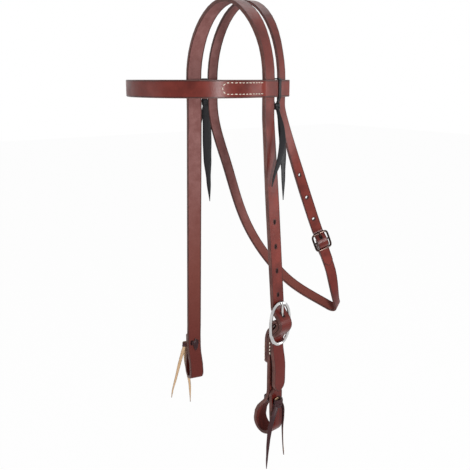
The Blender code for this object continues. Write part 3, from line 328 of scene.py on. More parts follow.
@dataclass(frozen=True)
class LeatherFinish:
    """Oiled leather with a smooth grain side, a matt flesh side and dark edges."""

    name: str
    light: Colour
    dark: Colour
    flesh_light: Colour
    flesh_dark: Colour
    # Flesh colour low down, darker and redder as painted shade; the flesh side's upper part stays lighter and greyer
    # as painted sheen
    flesh_shaded: Colour
    edge: Colour
    line: Colour
    # Painted shade: dark colour that the lower straps and loops turn towards by height, with its share and height
    # spans
    painted_low_shade: Colour = tint(0.080, 0.007, 0.005)
    painted_low_shade_share: float = 0.0
    grain_rough: float = 0.29
    flesh_rough: float = 0.78
    edge_rough: float = 0.36
    smear_rough: float = 0.12
    scuff_rough: float = 0.2
    specular: float = 0.18
    reach: float = 0.0012
    bump: float = 0.00006
    strength: float = 0.6
    grain_shade_span: tuple[float, float] = (-0.31, -0.375)
    flesh_shade_span: tuple[float, float] = (-0.30, -0.50)
    flesh_shade_fall: tuple[float, float] = (-0.16, -0.36)
    cut_reach: tuple[float, float] = (0.00005, 0.0003)

    def material(self, effects: Effects) -> Material:
        """Builds the material.

        Args:
            effects: The shared shader groups.

        Returns:
            The material.
        """
        material, maker, shader = new_material(self.name)
        place = maker.place()
        rim = maker.attribute(RIM_NAME)
        grain = maker.group(effects.grain, Place=place)
        fibres = maker.group(effects.fibres, Place=place)
        marks = maker.group(effects.handling, Place=place)
        burnish = maker.group(effects.burnish, Place=place, Rim=rim, Reach=self.reach)
        is_grain = maker.ramp(maker.attribute(SIDE_NAME), 0.3, 0.7)
        outer = maker.mix(grain["Tone"], self.dark, self.light)
        lifted = maker.mix(0.5, outer, self.light)
        outer = maker.mix(grain["Pull"], outer, lifted)
        height = maker.add("ShaderNodeSeparateXYZ", {0: place}).outputs["Z"]
        # Painted shade: the grain side darkens towards the bottom between the given heights
        outer = maker.mix(maker.ramp(height, *self.grain_shade_span, 0.0, self.painted_low_shade_share), outer, self.painted_low_shade)
        inner = maker.mix(fibres["Tone"], self.flesh_dark, self.flesh_light)
        # Painted shade and sheen: the flesh side is lighter and greyer up high and turns darker and redder towards the
        # bottom
        inner = maker.mix(maker.ramp(height, *self.flesh_shade_fall, 0.0, 0.9), inner, self.flesh_shaded)
        # Painted shade: the flesh side darkens the same way towards the bottom
        inner = maker.mix(maker.ramp(height, *self.flesh_shade_span, 0.0, self.painted_low_shade_share), inner, self.painted_low_shade)
        face = maker.mix(is_grain, inner, outer)
        edge = maker.mix(maker.ramp(fibres["Tone"], 0.2, 0.9, 0.0, 0.5), self.edge, self.line)
        # Painted shade: the walls of the punched holes take the dark line colour
        edge = maker.mix(maker.attribute(BORE_NAME), edge, self.line)
        colour = maker.mix(burnish["Mask"], face, self.line)
        colour = maker.mix(maker.ramp(rim, *self.cut_reach, 1.0, 0.0), colour, edge)
        maker.feed(shader.inputs["Base Color"], colour)
        shine = maker.ramp(marks["Smears"], 0.0, 1.0, self.grain_rough, self.grain_rough + self.smear_rough)
        shine = maker.math("ADD", shine, maker.math("MULTIPLY", marks["Scuffs"], self.scuff_rough))
        rough = maker.blend(is_grain, self.flesh_rough, shine)
        rough = maker.blend(burnish["Mask"], rough, self.edge_rough)
        maker.feed(shader.inputs["Roughness"], rough)
        shader.inputs["Specular IOR Level"].default_value = self.specular
        relief = maker.blend(is_grain, fibres["Height"], grain["Height"])
        maker.bump(shader, relief, self.strength, self.bump)
        return material


@dataclass(frozen=True)
class MetalFinish:
    """Cast and tumbled metal, bright or darkened."""

    name: str
    colour: Colour
    shade: Colour
    rough: float
    wear: float = 0.0
    worn: Colour = tint(0.32, 0.22, 0.17)
    smeared: float = 1.7
    bump: float = 0.00002
    strength: float = 0.25

    def material(self, effects: Effects) -> Material:
        """Builds the material.

        Args:
            effects: The shared shader groups.

        Returns:
            The material.
        """
        material, maker, shader = new_material(self.name)
        place = maker.place()
        marks = maker.group(effects.handling, Place=place)
        colour = maker.mix(maker.ramp(maker.noise(place, 70.0), 0.35, 0.7), self.shade, self.colour)
        if self.wear:
            geometry = maker.add("ShaderNodeNewGeometry")
            proud = maker.ramp(geometry.outputs["Pointiness"], 0.53, 0.6)
            colour = maker.mix(maker.math("MULTIPLY", proud, self.wear), colour, self.worn)
        maker.feed(shader.inputs["Base Color"], colour)
        rough = maker.ramp(marks["Smears"], 0.0, 1.0, self.rough, self.rough * self.smeared)
        maker.feed(shader.inputs["Roughness"], rough)
        shader.inputs["Metallic"].default_value = 1.0
        maker.bump(shader, maker.noise(place, 1400.0, 4.0, 0.7), self.strength, self.bump)
        return material


@dataclass(frozen=True)
class ThreadFinish:
    """Waxed twisted thread."""

    name: str
    colour: Colour
    shade: Colour
    bump: float = 0.00012
    strength: float = 0.7

    def material(self, effects: Effects) -> Material:
        """Builds the material.

        Args:
            effects: The shared shader groups.

        Returns:
            The material.
        """
        material, maker, shader = new_material(self.name)
        fibres = maker.group(effects.fibres, Place=maker.place())
        turns = maker.math("MULTIPLY", maker.attribute(PLY_NAME), math.tau)
        lay = maker.ramp(maker.math("SINE", turns), -1.0, 0.4)
        # Painted shade: the grooves between the twisted plies take the darker shade colour
        tone = maker.math("MULTIPLY", lay, maker.ramp(fibres["Tone"], 0.0, 1.0, 0.8, 1.0))
        maker.feed(shader.inputs["Base Color"], maker.mix(tone, self.shade, self.colour))
        maker.feed(shader.inputs["Roughness"], maker.ramp(lay, 0.0, 1.0, 0.7, 0.5))
        maker.bump(shader, lay, self.strength, self.bump)
        return material


def body_name(node: str) -> str:
    """Body that a node rides on."""
    bodies = frame["record"]["behaviour"]["bodies"]
    return next(body for body, nodes in bodies.items() if node in nodes)


def stand_for(piece: Object, node: str) -> None:
    """Lets a piece show in place of its node, and move with it.

    Args:
        piece: The piece.
        node: The node's name.
    """
    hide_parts(node)
    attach(piece, body_name(node))


def node_mesh(node: str) -> BMesh:
    """Welded copy of a node's mesh.

    Args:
        node: The node's name.

    Returns:
        A new bmesh.
    """
    work = bmesh.new()
    work.from_mesh(frame["nodes"][node].data)
    bmesh.ops.remove_doubles(work, verts=work.verts, dist=WELD)
    bmesh.ops.recalc_face_normals(work, faces=work.faces)
    work.verts.ensure_lookup_table()
    work.faces.ensure_lookup_table()
    return work


def to_triangles(work: BMesh) -> None:
    """Cuts every face with more than three corners into triangles."""
    bmesh.ops.triangulate(work, faces=[face for face in work.faces if len(face.verts) > 3])


def refine(work: BMesh, spacing: float, passes: int) -> None:
    """Cuts long edges in two until none is longer than the spacing.

    Args:
        work: The mesh.
        spacing: Length that needs no cut.
        passes: Most rounds of cuts.
    """
    for _ in range(passes):
        cut = [edge for edge in work.edges if edge.calc_length() > spacing]
        if not cut:
            return
        bmesh.ops.subdivide_edges(work, edges=cut, cuts=1)
        to_triangles(work)


def skin(work: BMesh, loops: Sequence[list], closed: bool = False) -> None:
    """Joins rings of points to a closed surface.

    Args:
        work: The mesh.
        loops: The rings, each with the same number of points.
        closed: Whether the last ring joins the first one. Otherwise both ends are capped.
    """
    pairs = list(zip(loops, loops[1:]))
    if closed:
        pairs.append((loops[-1], loops[0]))
    for first, second in pairs:
        for turn in range(len(first)):
            after = (turn + 1) % len(first)
            work.faces.new((first[turn], first[after], second[after], second[turn]))
    if not closed:
        work.faces.new(loops[0][::-1])
        work.faces.new(loops[-1])


def add_piece(name: str, work: BMesh, material: Material) -> Object:
    """Links a finished mesh as an object with smooth faces.

    Args:
        name: The piece's name.
        work: Its bmesh, which is freed.
        material: Its material.

    Returns:
        The object.
    """
    for face in work.faces:
        face.smooth = True
    mesh = bpy.data.meshes.new(name)
    work.to_mesh(mesh)
    work.free()
    mesh.materials.append(material)
    piece = bpy.data.objects.new(name, mesh)
    bpy.context.scene.collection.objects.link(piece)
    return piece


@dataclass
class LeatherPiece:
    """A strap, as its solid with finer faces and its two sides told apart.

    A match is the least product of two faces' normals, and a turn is the angle between them.
    """

    node: str
    width: float
    finish: Material
    grain_at: Sequence[Point]
    spacing: float = 0.0024
    passes: int = 4
    across_share: float = 0.4
    bore_share: float = 0.6
    least_match: float = 0.93
    bend_match: float = 0.6
    fold_match: float = 0.1
    level_match: float = 0.985
    any_match: float = -2.0
    sharp_turn: float = math.radians(52.0)

    def behind(self, tree: BVHTree, face: BMFace) -> Optional[int]:
        """Face of the other broad side close behind a face.

        Args:
            tree: The piece's faces.
            face: The face.

        Returns:
            Index of the face behind, or None on a cut edge.
        """
        start = face.calc_center_median() - face.normal * WELD
        hit = tree.ray_cast(start, -face.normal, self.width * self.across_share)
        if hit[0] is None or abs(hit[1].dot(face.normal)) < self.least_match:
            return None
        return hit[2]

    def sides(self, work: BMesh) -> dict[int, Face]:
        """Sorts the faces by surface.

        Args:
            work: The welded mesh.

        Returns:
            Face index to surface.
        """
        tree = BVHTree.FromBMesh(work)
        backs = {face.index: self.behind(tree, face) for face in work.faces}
        kinds = {face.index: Face.EDGE for face in work.faces}
        left = {index for index, back in backs.items() if back is not None}
        other_side = {Face.GRAIN: Face.FLESH, Face.FLESH: Face.GRAIN}
        waiting = deque((tree.find_nearest(Vector(place))[2], Face.GRAIN) for place in self.grain_at)
        for least in (self.bend_match, self.fold_match):
            known = [(index, kind) for index, kind in kinds.items() if kind is not Face.EDGE]
            waiting.extend((beside, kind) for index, kind in known for beside in self.beside(work.faces[index], least))
            while waiting:
                index, kind = waiting.popleft()
                if index in left:
                    left.discard(index)
                    kinds[index] = kind
                    waiting.append((backs[index], other_side[kind]))
                    waiting.extend((beside, kind) for beside in self.beside(work.faces[index], least))
        level = deque(index for index, kind in kinds.items() if kind is not Face.EDGE)
        while level:
            index = level.popleft()
            for beside in self.beside(work.faces[index], self.level_match):
                if kinds[beside] is Face.EDGE:
                    kinds[beside] = kinds[index]
                    level.append(beside)
        for _ in range(self.passes):
            for face in work.faces:
                around = [kinds[index] for index in self.beside(face, self.any_match)]
                for kind in other_side:
                    if kinds[face.index] is Face.EDGE and around.count(kind) > 1:
                        kinds[face.index] = kind
        return kinds

    def beside(self, face: BMFace, least: float) -> list[int]:
        """Neighbours of a face that bend away from it by little.

        Args:
            face: The face.
            least: Least product of the two normals.

        Returns:
            Indices of the neighbours.
        """
        return [
            other.index
            for edge in face.edges
            for other in edge.link_faces
            if other is not face and other.normal.dot(face.normal) > least
        ]

    def bores(self, work: BMesh, kinds: dict[int, Face]) -> set[int]:
        """Finds the walls of the punched holes.

        Args:
            work: The welded mesh.
            kinds: Face index to surface.

        Returns:
            Indices of the wall faces.
        """
        left = {face for face in work.faces if kinds[face.index] is Face.EDGE}
        walls = set()
        while left:
            waiting = [left.pop()]
            group = list(waiting)
            while waiting:
                for edge in waiting.pop().edges:
                    for beside in edge.link_faces:
                        if beside in left:
                            left.discard(beside)
                            waiting.append(beside)
                            group.append(beside)
            places = [vert.co for face in group for vert in face.verts]
            spans = ([place[axis] for place in places] for axis in range(3))
            if max(max(span) - min(span) for span in spans) < self.width * self.bore_share:
                walls.update(face.index for face in group)
        return walls

    def soften(self, work: BMesh, kinds: dict[int, Face]) -> None:
        """Stores at every corner the direction of the smooth leather there.

        Args:
            work: The mesh before its edges are cut.
            kinds: Face index to surface.
        """
        layer = work.loops.layers.float_vector.new(TURN_NAME)
        least = math.cos(self.sharp_turn)
        for face in work.faces:
            for corner in face.loops:
                total = Vector()
                for other in corner.vert.link_faces:
                    if kinds[other.index] is kinds[face.index] and other.normal.dot(face.normal) > least:
                        opening = next(item.calc_angle() for item in other.loops if item.vert is corner.vert)
                        total += other.normal * opening * other.calc_area()
                corner[layer] = total.normalized() if total.length > 0.0 else face.normal

    def build(self) -> None:
        """Makes the piece and lets it stand for its node."""
        work = node_mesh(self.node)
        bmesh.ops.dissolve_degenerate(work, edges=work.edges, dist=WELD)
        to_triangles(work)
        work.verts.ensure_lookup_table()
        work.faces.ensure_lookup_table()
        work.faces.index_update()
        kinds = self.sides(work)
        self.soften(work, kinds)
        walls = self.bores(work, kinds)
        kind_layer = work.faces.layers.float.new(KIND_NAME)
        wall_layer = work.faces.layers.float.new(WALL_NAME)
        for face in work.faces:
            face[kind_layer] = kinds[face.index].value
            face[wall_layer] = float(face.index in walls)
        refine(work, self.spacing, self.passes)
        self.paint(work)
        turns = work.loops.layers.float_vector[TURN_NAME]
        normals = [corner[turns].normalized() for face in work.faces for corner in face.loops]
        piece = add_piece(f"{self.node}_leather", work, self.finish)
        piece.data.normals_split_custom_set(normals)
        stand_for(piece, self.node)
        log.info("%s: %d corners", piece.name, len(normals))

    def paint(self, work: BMesh) -> None:
        """Stores each point's side, its distance from the cut edge and whether it is on a hole's wall.

        Args:
            work: The refined mesh, whose faces know their surface.
        """
        kind_layer = work.faces.layers.float[KIND_NAME]
        wall_layer = work.faces.layers.float[WALL_NAME]
        rim_verts = set()
        for face in work.faces:
            if face[kind_layer] == Face.EDGE.value:
                rim_verts.update(face.verts)
        near_rim = KDTree(max(1, len(rim_verts)))
        for index, vert in enumerate(sorted(rim_verts, key=lambda item: item.index)):
            near_rim.insert(vert.co, index)
        near_rim.balance()
        side_layer = work.verts.layers.float.new(SIDE_NAME)
        rim_layer = work.verts.layers.float.new(RIM_NAME)
        bore_layer = work.verts.layers.float.new(BORE_NAME)
        for vert in work.verts:
            vert[bore_layer] = max(face[wall_layer] for face in vert.link_faces)
            kinds_here = [face[kind_layer] for face in vert.link_faces]
            flats = [value for value in kinds_here if value != Face.EDGE.value]
            vert[side_layer] = flats[0] if flats else Face.EDGE.value
            gap = near_rim.find(vert.co)[2] if rim_verts and vert not in rim_verts else 0.0
            vert[rim_layer] = gap or 0.0


def spline_at(points: Sequence[Vector], share: float, closed: bool) -> Vector:
    """Place on a smooth curve through points.

    Args:
        points: The points.
        share: 0 at the first point and 1 at the last, or at the first again on a closed curve.
        closed: Whether the curve returns to its start.

    Returns:
        The place.
    """
    last = len(points) if closed else len(points) - 1
    reach = (share % 1.0 if closed else max(0.0, min(1.0, share))) * last
    index = min(int(reach), last - 1)
    part = reach - index
    picks = []
    for step in (-1, 0, 1, 2):
        at = index + step
        picks.append(points[at % len(points)] if closed else points[max(0, min(last, at))])
    before, first, second, after = picks
    cube = (3.0 * first - before - 3.0 * second + after) * part**3
    square = (2.0 * before - 5.0 * first + 4.0 * second - after) * part**2
    return 0.5 * (2.0 * first + (second - before) * part + square + cube)


@dataclass(frozen=True)
class Strand:
    """One flat run of lace: its route, where its grain side faces and how wide it is."""

    route: Sequence[Point]
    facing: Point
    widths: Sequence[float]
    thickness: float = 0.0015
    closed: bool = False
    facing_end: Optional[Point] = None
    spacing: float = 0.0012
    turns: int = 14
    round_wide: float = 0.55
    round_thick: float = 0.6
    side_change: float = 3.0

    def width_at(self, share: float) -> float:
        """Width at a share of the route, eased between the given widths."""
        reach = share * (len(self.widths) - 1)
        index = min(int(reach), len(self.widths) - 2)
        part = reach - index
        step = self.widths[index + 1] - self.widths[index]
        return self.widths[index] + step * part * part * (3.0 - 2.0 * part)

    def add(self, work: BMesh) -> None:
        """Adds the run as a closed body.

        Args:
            work: The mesh that grows, with its side and rim layers.
        """
        side_layer = work.verts.layers.float[SIDE_NAME]
        rim_layer = work.verts.layers.float[RIM_NAME]
        points = [Vector(place) for place in self.route]
        length = sum((second - first).length for first, second in zip(points, points[1:]))
        count = max(10, round(length / self.spacing))
        nudge = 0.25 / count
        start, finish = Vector(self.facing), Vector(self.facing_end or self.facing)
        loops = []
        for ring in range(count if self.closed else count + 1):
            share = ring / count
            nearby = (share - nudge, share, share + nudge)
            before, centre, after = (spline_at(points, place, self.closed) for place in nearby)
            along = (after - before).normalized()
            face = centre - start if self.closed else start.lerp(finish, share)
            face = (face - along * face.dot(along)).normalized()
            across = along.cross(face)
            half = self.width_at(share) / 2.0
            deep = min(self.thickness / 2.0, half)
            loop = []
            for turn in range(self.turns):
                angle = math.tau * turn / self.turns
                wide, thick = math.cos(angle), math.sin(angle)
                over = math.copysign(abs(wide) ** self.round_wide, wide) * half
                out = math.copysign(abs(thick) ** self.round_thick, thick) * deep
                vert = work.verts.new(centre + across * over + face * out)
                vert[side_layer] = 0.5 + 0.5 * max(-1.0, min(1.0, thick * self.side_change))
                vert[rim_layer] = half - abs(over)
                loop.append(vert)
            loops.append(loop)
        skin(work, loops, self.closed)


def wrap(
    centre: Point, axis: Point, wide: float, deep: float, width: float, lean: Point, steps: int = 8
) -> Strand:
    """One turn of lace round a knot.

    Args:
        centre: Middle of the knot.
        axis: Line that the turn goes round.
        wide: Half of the turn's greater reach.
        deep: Half of its lesser reach.
        width: Width of the lace.
        lean: Direction of the greater reach.
        steps: Points of the route.

    Returns:
        The closed strand.
    """
    middle, line = Vector(centre), Vector(axis).normalized()
    first = Vector(lean) - line * line.dot(Vector(lean))
    first.normalize()
    second = line.cross(first)
    route = []
    for step in range(steps):
        angle = math.tau * step / steps
        place = middle + first * (math.cos(angle) * wide) + second * (math.sin(angle) * deep)
        route.append(tuple(place))
    return Strand(tuple(route), tuple(middle), (width, width), thickness=0.0013, closed=True)


@dataclass
class LaceTie:
    """A knotted lace: the turn that holds the leather, its knot and two hanging tails."""

    node: str
    finish: Material
    cut_height: float
    strands: Sequence[Strand]
    spacing: float = 0.0014
    passes: int = 3
    sharp_turn: float = math.radians(60.0)

    def build(self) -> None:
        """Keeps the solid's turn and knot, and adds the knot's wraps and the shaped tails."""
        work = node_mesh(self.node)
        cut = bmesh.ops.bisect_plane(
            work,
            geom=work.verts[:] + work.edges[:] + work.faces[:],
            plane_co=(0.0, 0.0, self.cut_height),
            plane_no=UP,
            clear_inner=True,
        )
        rim = [item for item in cut["geom_cut"] if isinstance(item, BMEdge)]
        bmesh.ops.holes_fill(work, edges=rim, sides=0)
        bmesh.ops.triangulate(work, faces=work.faces[:])
        refine(work, self.spacing, self.passes)
        side_layer = work.verts.layers.float.new(SIDE_NAME)
        rim_layer = work.verts.layers.float.new(RIM_NAME)
        for vert in work.verts:
            vert[side_layer] = Face.GRAIN.value
            vert[rim_layer] = self.spacing
        for strand in self.strands:
            strand.add(work)
        bmesh.ops.recalc_face_normals(work, faces=work.faces)
        piece = add_piece(f"{self.node}_lace", work, self.finish)
        piece.data.set_sharp_from_angle(angle=self.sharp_turn)
        stand_for(piece, self.node)
        log.info("%s: %d strands", piece.name, len(self.strands))


@dataclass
class Seam:
    """A row of stitches laid on a strap's face, looked at from a standoff in front of it."""

    name: str
    node: str
    path: Sequence[Vector]
    look: Vector
    thread: Material
    radius: float = 0.00045
    proud: float = 0.00018
    pitch: float = 0.0046
    share: float = 0.74
    sunk: float = 1.4
    tip: float = 0.45
    rise: float = 1.8
    swell: float = 2.0
    twist: float = 3.0
    rings: int = 9
    sides: int = 8
    spacing: float = 0.0004
    standoff: float = 0.02
    sight: float = 0.05

    def on_surface(self, tree: BVHTree, point: Vector) -> tuple[Vector, Vector]:
        """Place and normal on the strap that a point looks down on.

        Args:
            tree: The strap's faces.
            point: A point above the face.

        Returns:
            The place and the normal.
        """
        hit = tree.ray_cast(point - self.look * self.standoff, self.look, self.sight)
        if hit[0] is None:
            hit = tree.find_nearest(point)
        return hit[0], hit[1]

    def places(self, tree: BVHTree) -> list[tuple[Vector, Vector]]:
        """Even steps along the path, on the strap.

        Args:
            tree: The strap's faces.

        Returns:
            Pairs of place and normal.
        """
        dense = []
        for first, second in zip(self.path, self.path[1:]):
            count = max(2, round((second - first).length / self.spacing))
            dense.extend(self.on_surface(tree, first.lerp(second, step / count)) for step in range(count))
        dense.append(self.on_surface(tree, self.path[-1]))
        return dense

    def stitch(self, work: BMesh, run: list[tuple[Vector, Vector]]) -> None:
        """Adds one stitch as a closed tapered tube, whose tips are sunk in the leather.

        Args:
            work: The mesh that grows.
            run: Places and normals under the stitch.
        """
        ply = work.verts.layers.float[PLY_NAME]
        last = len(run) - 1
        loops = []
        for ring in range(self.rings):
            share = ring / (self.rings - 1)
            at = round(share * last)
            place, normal = run[at]
            along = (run[min(last, at + 1)][0] - run[max(0, at - 1)][0]).normalized()
            across = normal.cross(along).normalized()
            lift = math.sin(math.pi * share)
            height = (1.0 + self.sunk) * min(1.0, lift * self.rise) - self.sunk
            centre = place + normal * (self.proud * height)
            radius = self.radius * (self.tip + (1.0 - self.tip) * min(1.0, lift * self.swell))
            loop = []
            for turn in range(self.sides):
                angle = math.tau * turn / self.sides
                offset = across * math.cos(angle) * radius + normal * math.sin(angle) * radius
                vert = work.verts.new(centre + offset)
                vert[ply] = share * self.twist + turn / self.sides
                loop.append(vert)
            loops.append(loop)
        skin(work, loops)

    def build(self) -> None:
        """Makes the seam."""
        source = node_mesh(self.node)
        dense = self.places(BVHTree.FromBMesh(source))
        source.free()
        reach = [0.0]
        for first, second in zip(dense, dense[1:]):
            reach.append(reach[-1] + (second[0] - first[0]).length)
        count = max(1, round(reach[-1] / self.pitch))
        step = reach[-1] / count
        work = bmesh.new()
        work.verts.layers.float.new(PLY_NAME)
        for index in range(count):
            low = step * (index + (1.0 - self.share) / 2.0)
            high = low + step * self.share
            run = [pair for pair, far in zip(dense, reach) if low <= far <= high]
            if len(run) > 3:
                self.stitch(work, run)
        bmesh.ops.recalc_face_normals(work, faces=work.faces)
        piece = add_piece(self.name, work, self.thread)
        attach(piece, body_name(self.node))
        log.info("%s: %d stitches", self.name, count)


@dataclass
class BrowbandSeams:
    """The U of stitches that closes each browband loop."""

    thread: Material
    node: str = "browband"
    height: float = -0.0950
    half: float = 0.0057
    back: float = -0.0135
    front: float = -0.0605
    outside: float = 0.0860
    inner_share: float = 0.82
    steps: int = 12

    def path(self, side: float) -> list[Vector]:
        """Line of the seam above one browband end.

        Args:
            side: 1 for the near end and -1 for the off end.

        Returns:
            Points of the line.
        """
        out = side * self.outside
        points = [Vector((out, self.back, self.height + self.half))]
        for step in range(self.steps + 1):
            angle = math.pi / 2.0 - math.pi * step / self.steps
            y = self.front - self.half * math.cos(angle)
            points.append(Vector((out, y, self.height + self.half * math.sin(angle))))
        points.append(Vector((out, self.back, self.height - self.half)))
        return points

    def build(self) -> None:
        """Sews the outer and the inner face of both ends."""
        for side, end in ((1.0, "near"), (-1.0, "off")):
            for look, face, share in ((-side, "outer", 1.0), (side, "inner", self.inner_share)):
                path = [Vector((point.x * share, point.y, point.z)) for point in self.path(side)]
                name = f"{end}_{self.node}_{face}_stitches"
                Seam(name, self.node, path, Vector((look, 0.0, 0.0)), self.thread).build()


@dataclass
class FoldSeams:
    """Short rows of stitches that close the cheekpiece's fold round its buckle's bar."""

    thread: Material
    node: str = "near_cheekpiece"
    edge: tuple[Point, Point] = ((0.0908, -0.0049, -0.3840), (0.0910, -0.0049, -0.4010))
    edge_look: Point = (-0.8, 0.6, 0.0)
    edge_radius: float = 0.00055
    edge_proud: float = 0.00030
    inside: float = 0.0790
    rows: tuple[tuple[str, float], ...] = (("front", -0.0065), ("back", 0.0070))
    top: float = -0.3860
    bottom: float = -0.4130

    def build(self) -> None:
        """Sews the fold's front edge and the two rows on its inner face."""
        name = f"{self.node}_edge_stitches"
        path = [Vector(place) for place in self.edge]
        look = Vector(self.edge_look)
        Seam(name, self.node, path, look, self.thread, self.edge_radius, self.edge_proud).build()
        for word, across in self.rows:
            path = [Vector((self.inside, across, height)) for height in (self.top, self.bottom)]
            Seam(f"{self.node}_{word}_stitches", self.node, path, Vector((1.0, 0.0, 0.0)), self.thread).build()


@dataclass
class Buckle:
    """A centre-bar buckle, whose solids keep their shape and get their metal."""

    name: str
    metal: Material

    def build(self) -> None:
        """Gives the frame and the tongue their metal and smooth faces."""
        for part in ("frame", "tongue"):
            piece = frame["nodes"][f"{self.name}_{part}"]
            piece.data.materials.clear()
            piece.data.materials.append(self.metal)
            piece.data.polygons.foreach_set("use_smooth", [True] * len(piece.data.polygons))
            log.info("%s_%s: %s", self.name, part, self.metal.name)


@dataclass
class Studio:
    """Camera, plain floor and soft light."""

    turn: float = math.radians(54.5)
    focal_pixels: float = 627.0
    frame_pixels: float = 470.0
    horizon_pixels: float = 155.5
    sensor: float = 36.0
    distance: float = 0.7601
    sideways: float = 0.0081
    height: float = -0.086
    floor_height: float = -0.70
    floor_half: float = 6.0
    ambient: float = 0.39
    floor_glow: float = 0.97
    floor_colour: Colour = tint(0.92, 0.92, 0.92)
    lamps: Sequence[tuple] = (
        ("key", (1.38, -0.32, -0.18), (0.0, 0.0, -0.15), (0.19, 0.45), 14.5),
        ("side", (0.83, 1.19, -0.12), (0.0, 0.0, -0.15), (0.60, 0.50), 4.0),
        ("front", (-0.47, -1.06, -0.36), (0.05, 0.0, -0.25), (0.30, 0.40), 2.2),
        ("top", (-0.4, 0.6, 1.2), (0.0, 0.0, -0.2), (0.8, 0.8), 4.0),
    )

    def camera(self) -> None:
        """Places the camera where the photo was taken."""
        pitch = math.atan(self.horizon_pixels / self.focal_pixels)
        right = Vector((math.cos(self.turn), math.sin(self.turn), 0.0))
        level = Vector((-math.sin(self.turn), math.cos(self.turn), 0.0))
        ahead = level * math.cos(pitch) - Vector((0.0, 0.0, math.sin(pitch)))
        above = right.cross(ahead)
        place = right * self.sideways - level * self.distance + Vector((0.0, 0.0, self.height))
        lens = bpy.data.cameras.new("camera")
        lens.sensor_width = self.sensor
        lens.lens = self.sensor * self.focal_pixels / self.frame_pixels
        lens.clip_start = 0.01
        lens.clip_end = 50.0
        holder = bpy.data.objects.new("camera", lens)
        rotation = Matrix((right, above, -ahead)).transposed().to_4x4()
        holder.matrix_world = Matrix.Translation(place) @ rotation
        bpy.context.scene.collection.objects.link(holder)
        bpy.context.scene.camera = holder

    def lamp(self, name: str, place: Point, target: Point, size: tuple[float, float], power: float) -> None:
        """Adds one soft lamp.

        Args:
            name: The lamp's name.
            place: Where it stands.
            target: Where it points.
            size: Its width and height.
            power: Its power in watts.
        """
        light = bpy.data.lights.new(name, "AREA")
        light.shape = "RECTANGLE"
        light.size, light.size_y = size
        light.energy = power
        holder = bpy.data.objects.new(name, light)
        holder.location = Vector(place)
        aim = Vector(target) - Vector(place)
        holder.rotation_euler = aim.to_track_quat("-Z", "Y").to_euler()
        holder.visible_camera = False
        bpy.context.scene.collection.objects.link(holder)

    def world(self) -> None:
        """White surroundings that light the object plainly."""
        world = bpy.data.worlds.new("studio")
        maker = empty_nodes(world)
        strength = maker.blend(maker.seen(), self.ambient, 1.0)
        background = maker.add("ShaderNodeBackground", {"Color": WHITE, "Strength": strength})
        maker.add("ShaderNodeOutputWorld", {"Surface": background.outputs[0]})
        bpy.context.scene.world = world

    def floor(self) -> None:
        """Lays the pale floor below the headstall."""
        material = bpy.data.materials.new("floor")
        maker = empty_nodes(material)
        share = maker.math("MULTIPLY", maker.seen(), self.floor_glow)
        matt = maker.add("ShaderNodeBsdfDiffuse", {"Color": self.floor_colour})
        glow = maker.add("ShaderNodeEmission", {"Color": WHITE, "Strength": 1.0})
        mixed = maker.add("ShaderNodeMixShader", {0: share, 1: matt.outputs[0], 2: glow.outputs[0]})
        maker.add("ShaderNodeOutputMaterial", {"Surface": mixed.outputs[0]})
        work = bmesh.new()
        half = self.floor_half
        corners = [(-half, -half), (half, -half), (half, half), (-half, half)]
        work.faces.new([work.verts.new((x, y, self.floor_height)) for x, y in corners])
        add_piece("floor", work, material)

    def build(self) -> None:
        """Sets up the whole studio."""
        self.camera()
        self.world()
        self.floor()
        for lamp in self.lamps:
            self.lamp(*lamp)
        bpy.context.scene.view_settings.view_transform = "Standard"


CHESTNUT = LeatherFinish(
    "chestnut_leather",
    light=tint(0.165, 0.028, 0.020),
    dark=tint(0.075, 0.011, 0.008),
    flesh_light=tint(0.240, 0.112, 0.104),
    flesh_dark=tint(0.170, 0.066, 0.060),
    flesh_shaded=tint(0.150, 0.040, 0.029),
    edge=tint(0.125, 0.052, 0.043),
    line=tint(0.036, 0.009, 0.008),
    painted_low_shade_share=0.75,
    reach=0.0015,
)
BLACK_LACE = LeatherFinish(
    "black_lace",
    light=tint(0.012, 0.011, 0.013),
    dark=tint(0.005, 0.005, 0.006),
    flesh_light=tint(0.022, 0.019, 0.020),
    flesh_dark=tint(0.010, 0.009, 0.010),
    flesh_shaded=tint(0.014, 0.012, 0.013),
    edge=tint(0.012, 0.011, 0.012),
    line=tint(0.006, 0.006, 0.007),
    grain_rough=0.42,
    reach=0.0004,
)
BIT_LACE = LeatherFinish(
    "burgundy_lace",
    light=tint(0.060, 0.018, 0.020),
    dark=tint(0.018, 0.007, 0.009),
    flesh_light=tint(0.600, 0.430, 0.280),
    flesh_dark=tint(0.380, 0.235, 0.130),
    flesh_shaded=tint(0.560, 0.380, 0.230),
    edge=tint(0.060, 0.026, 0.020),
    line=tint(0.020, 0.008, 0.008),
    reach=0.0004,
)
BRIGHT_STEEL = MetalFinish(
    "polished_steel",
    colour=tint(0.60, 0.59, 0.58),
    shade=tint(0.46, 0.45, 0.45),
    rough=0.14,
)
DARK_METAL = MetalFinish(
    "antique_metal",
    colour=tint(0.060, 0.036, 0.030),
    shade=tint(0.022, 0.014, 0.013),
    rough=0.24,
    wear=0.12,
)
CREAM_THREAD = ThreadFinish("cream_thread", colour=tint(0.86, 0.80, 0.70), shade=tint(0.52, 0.44, 0.35))

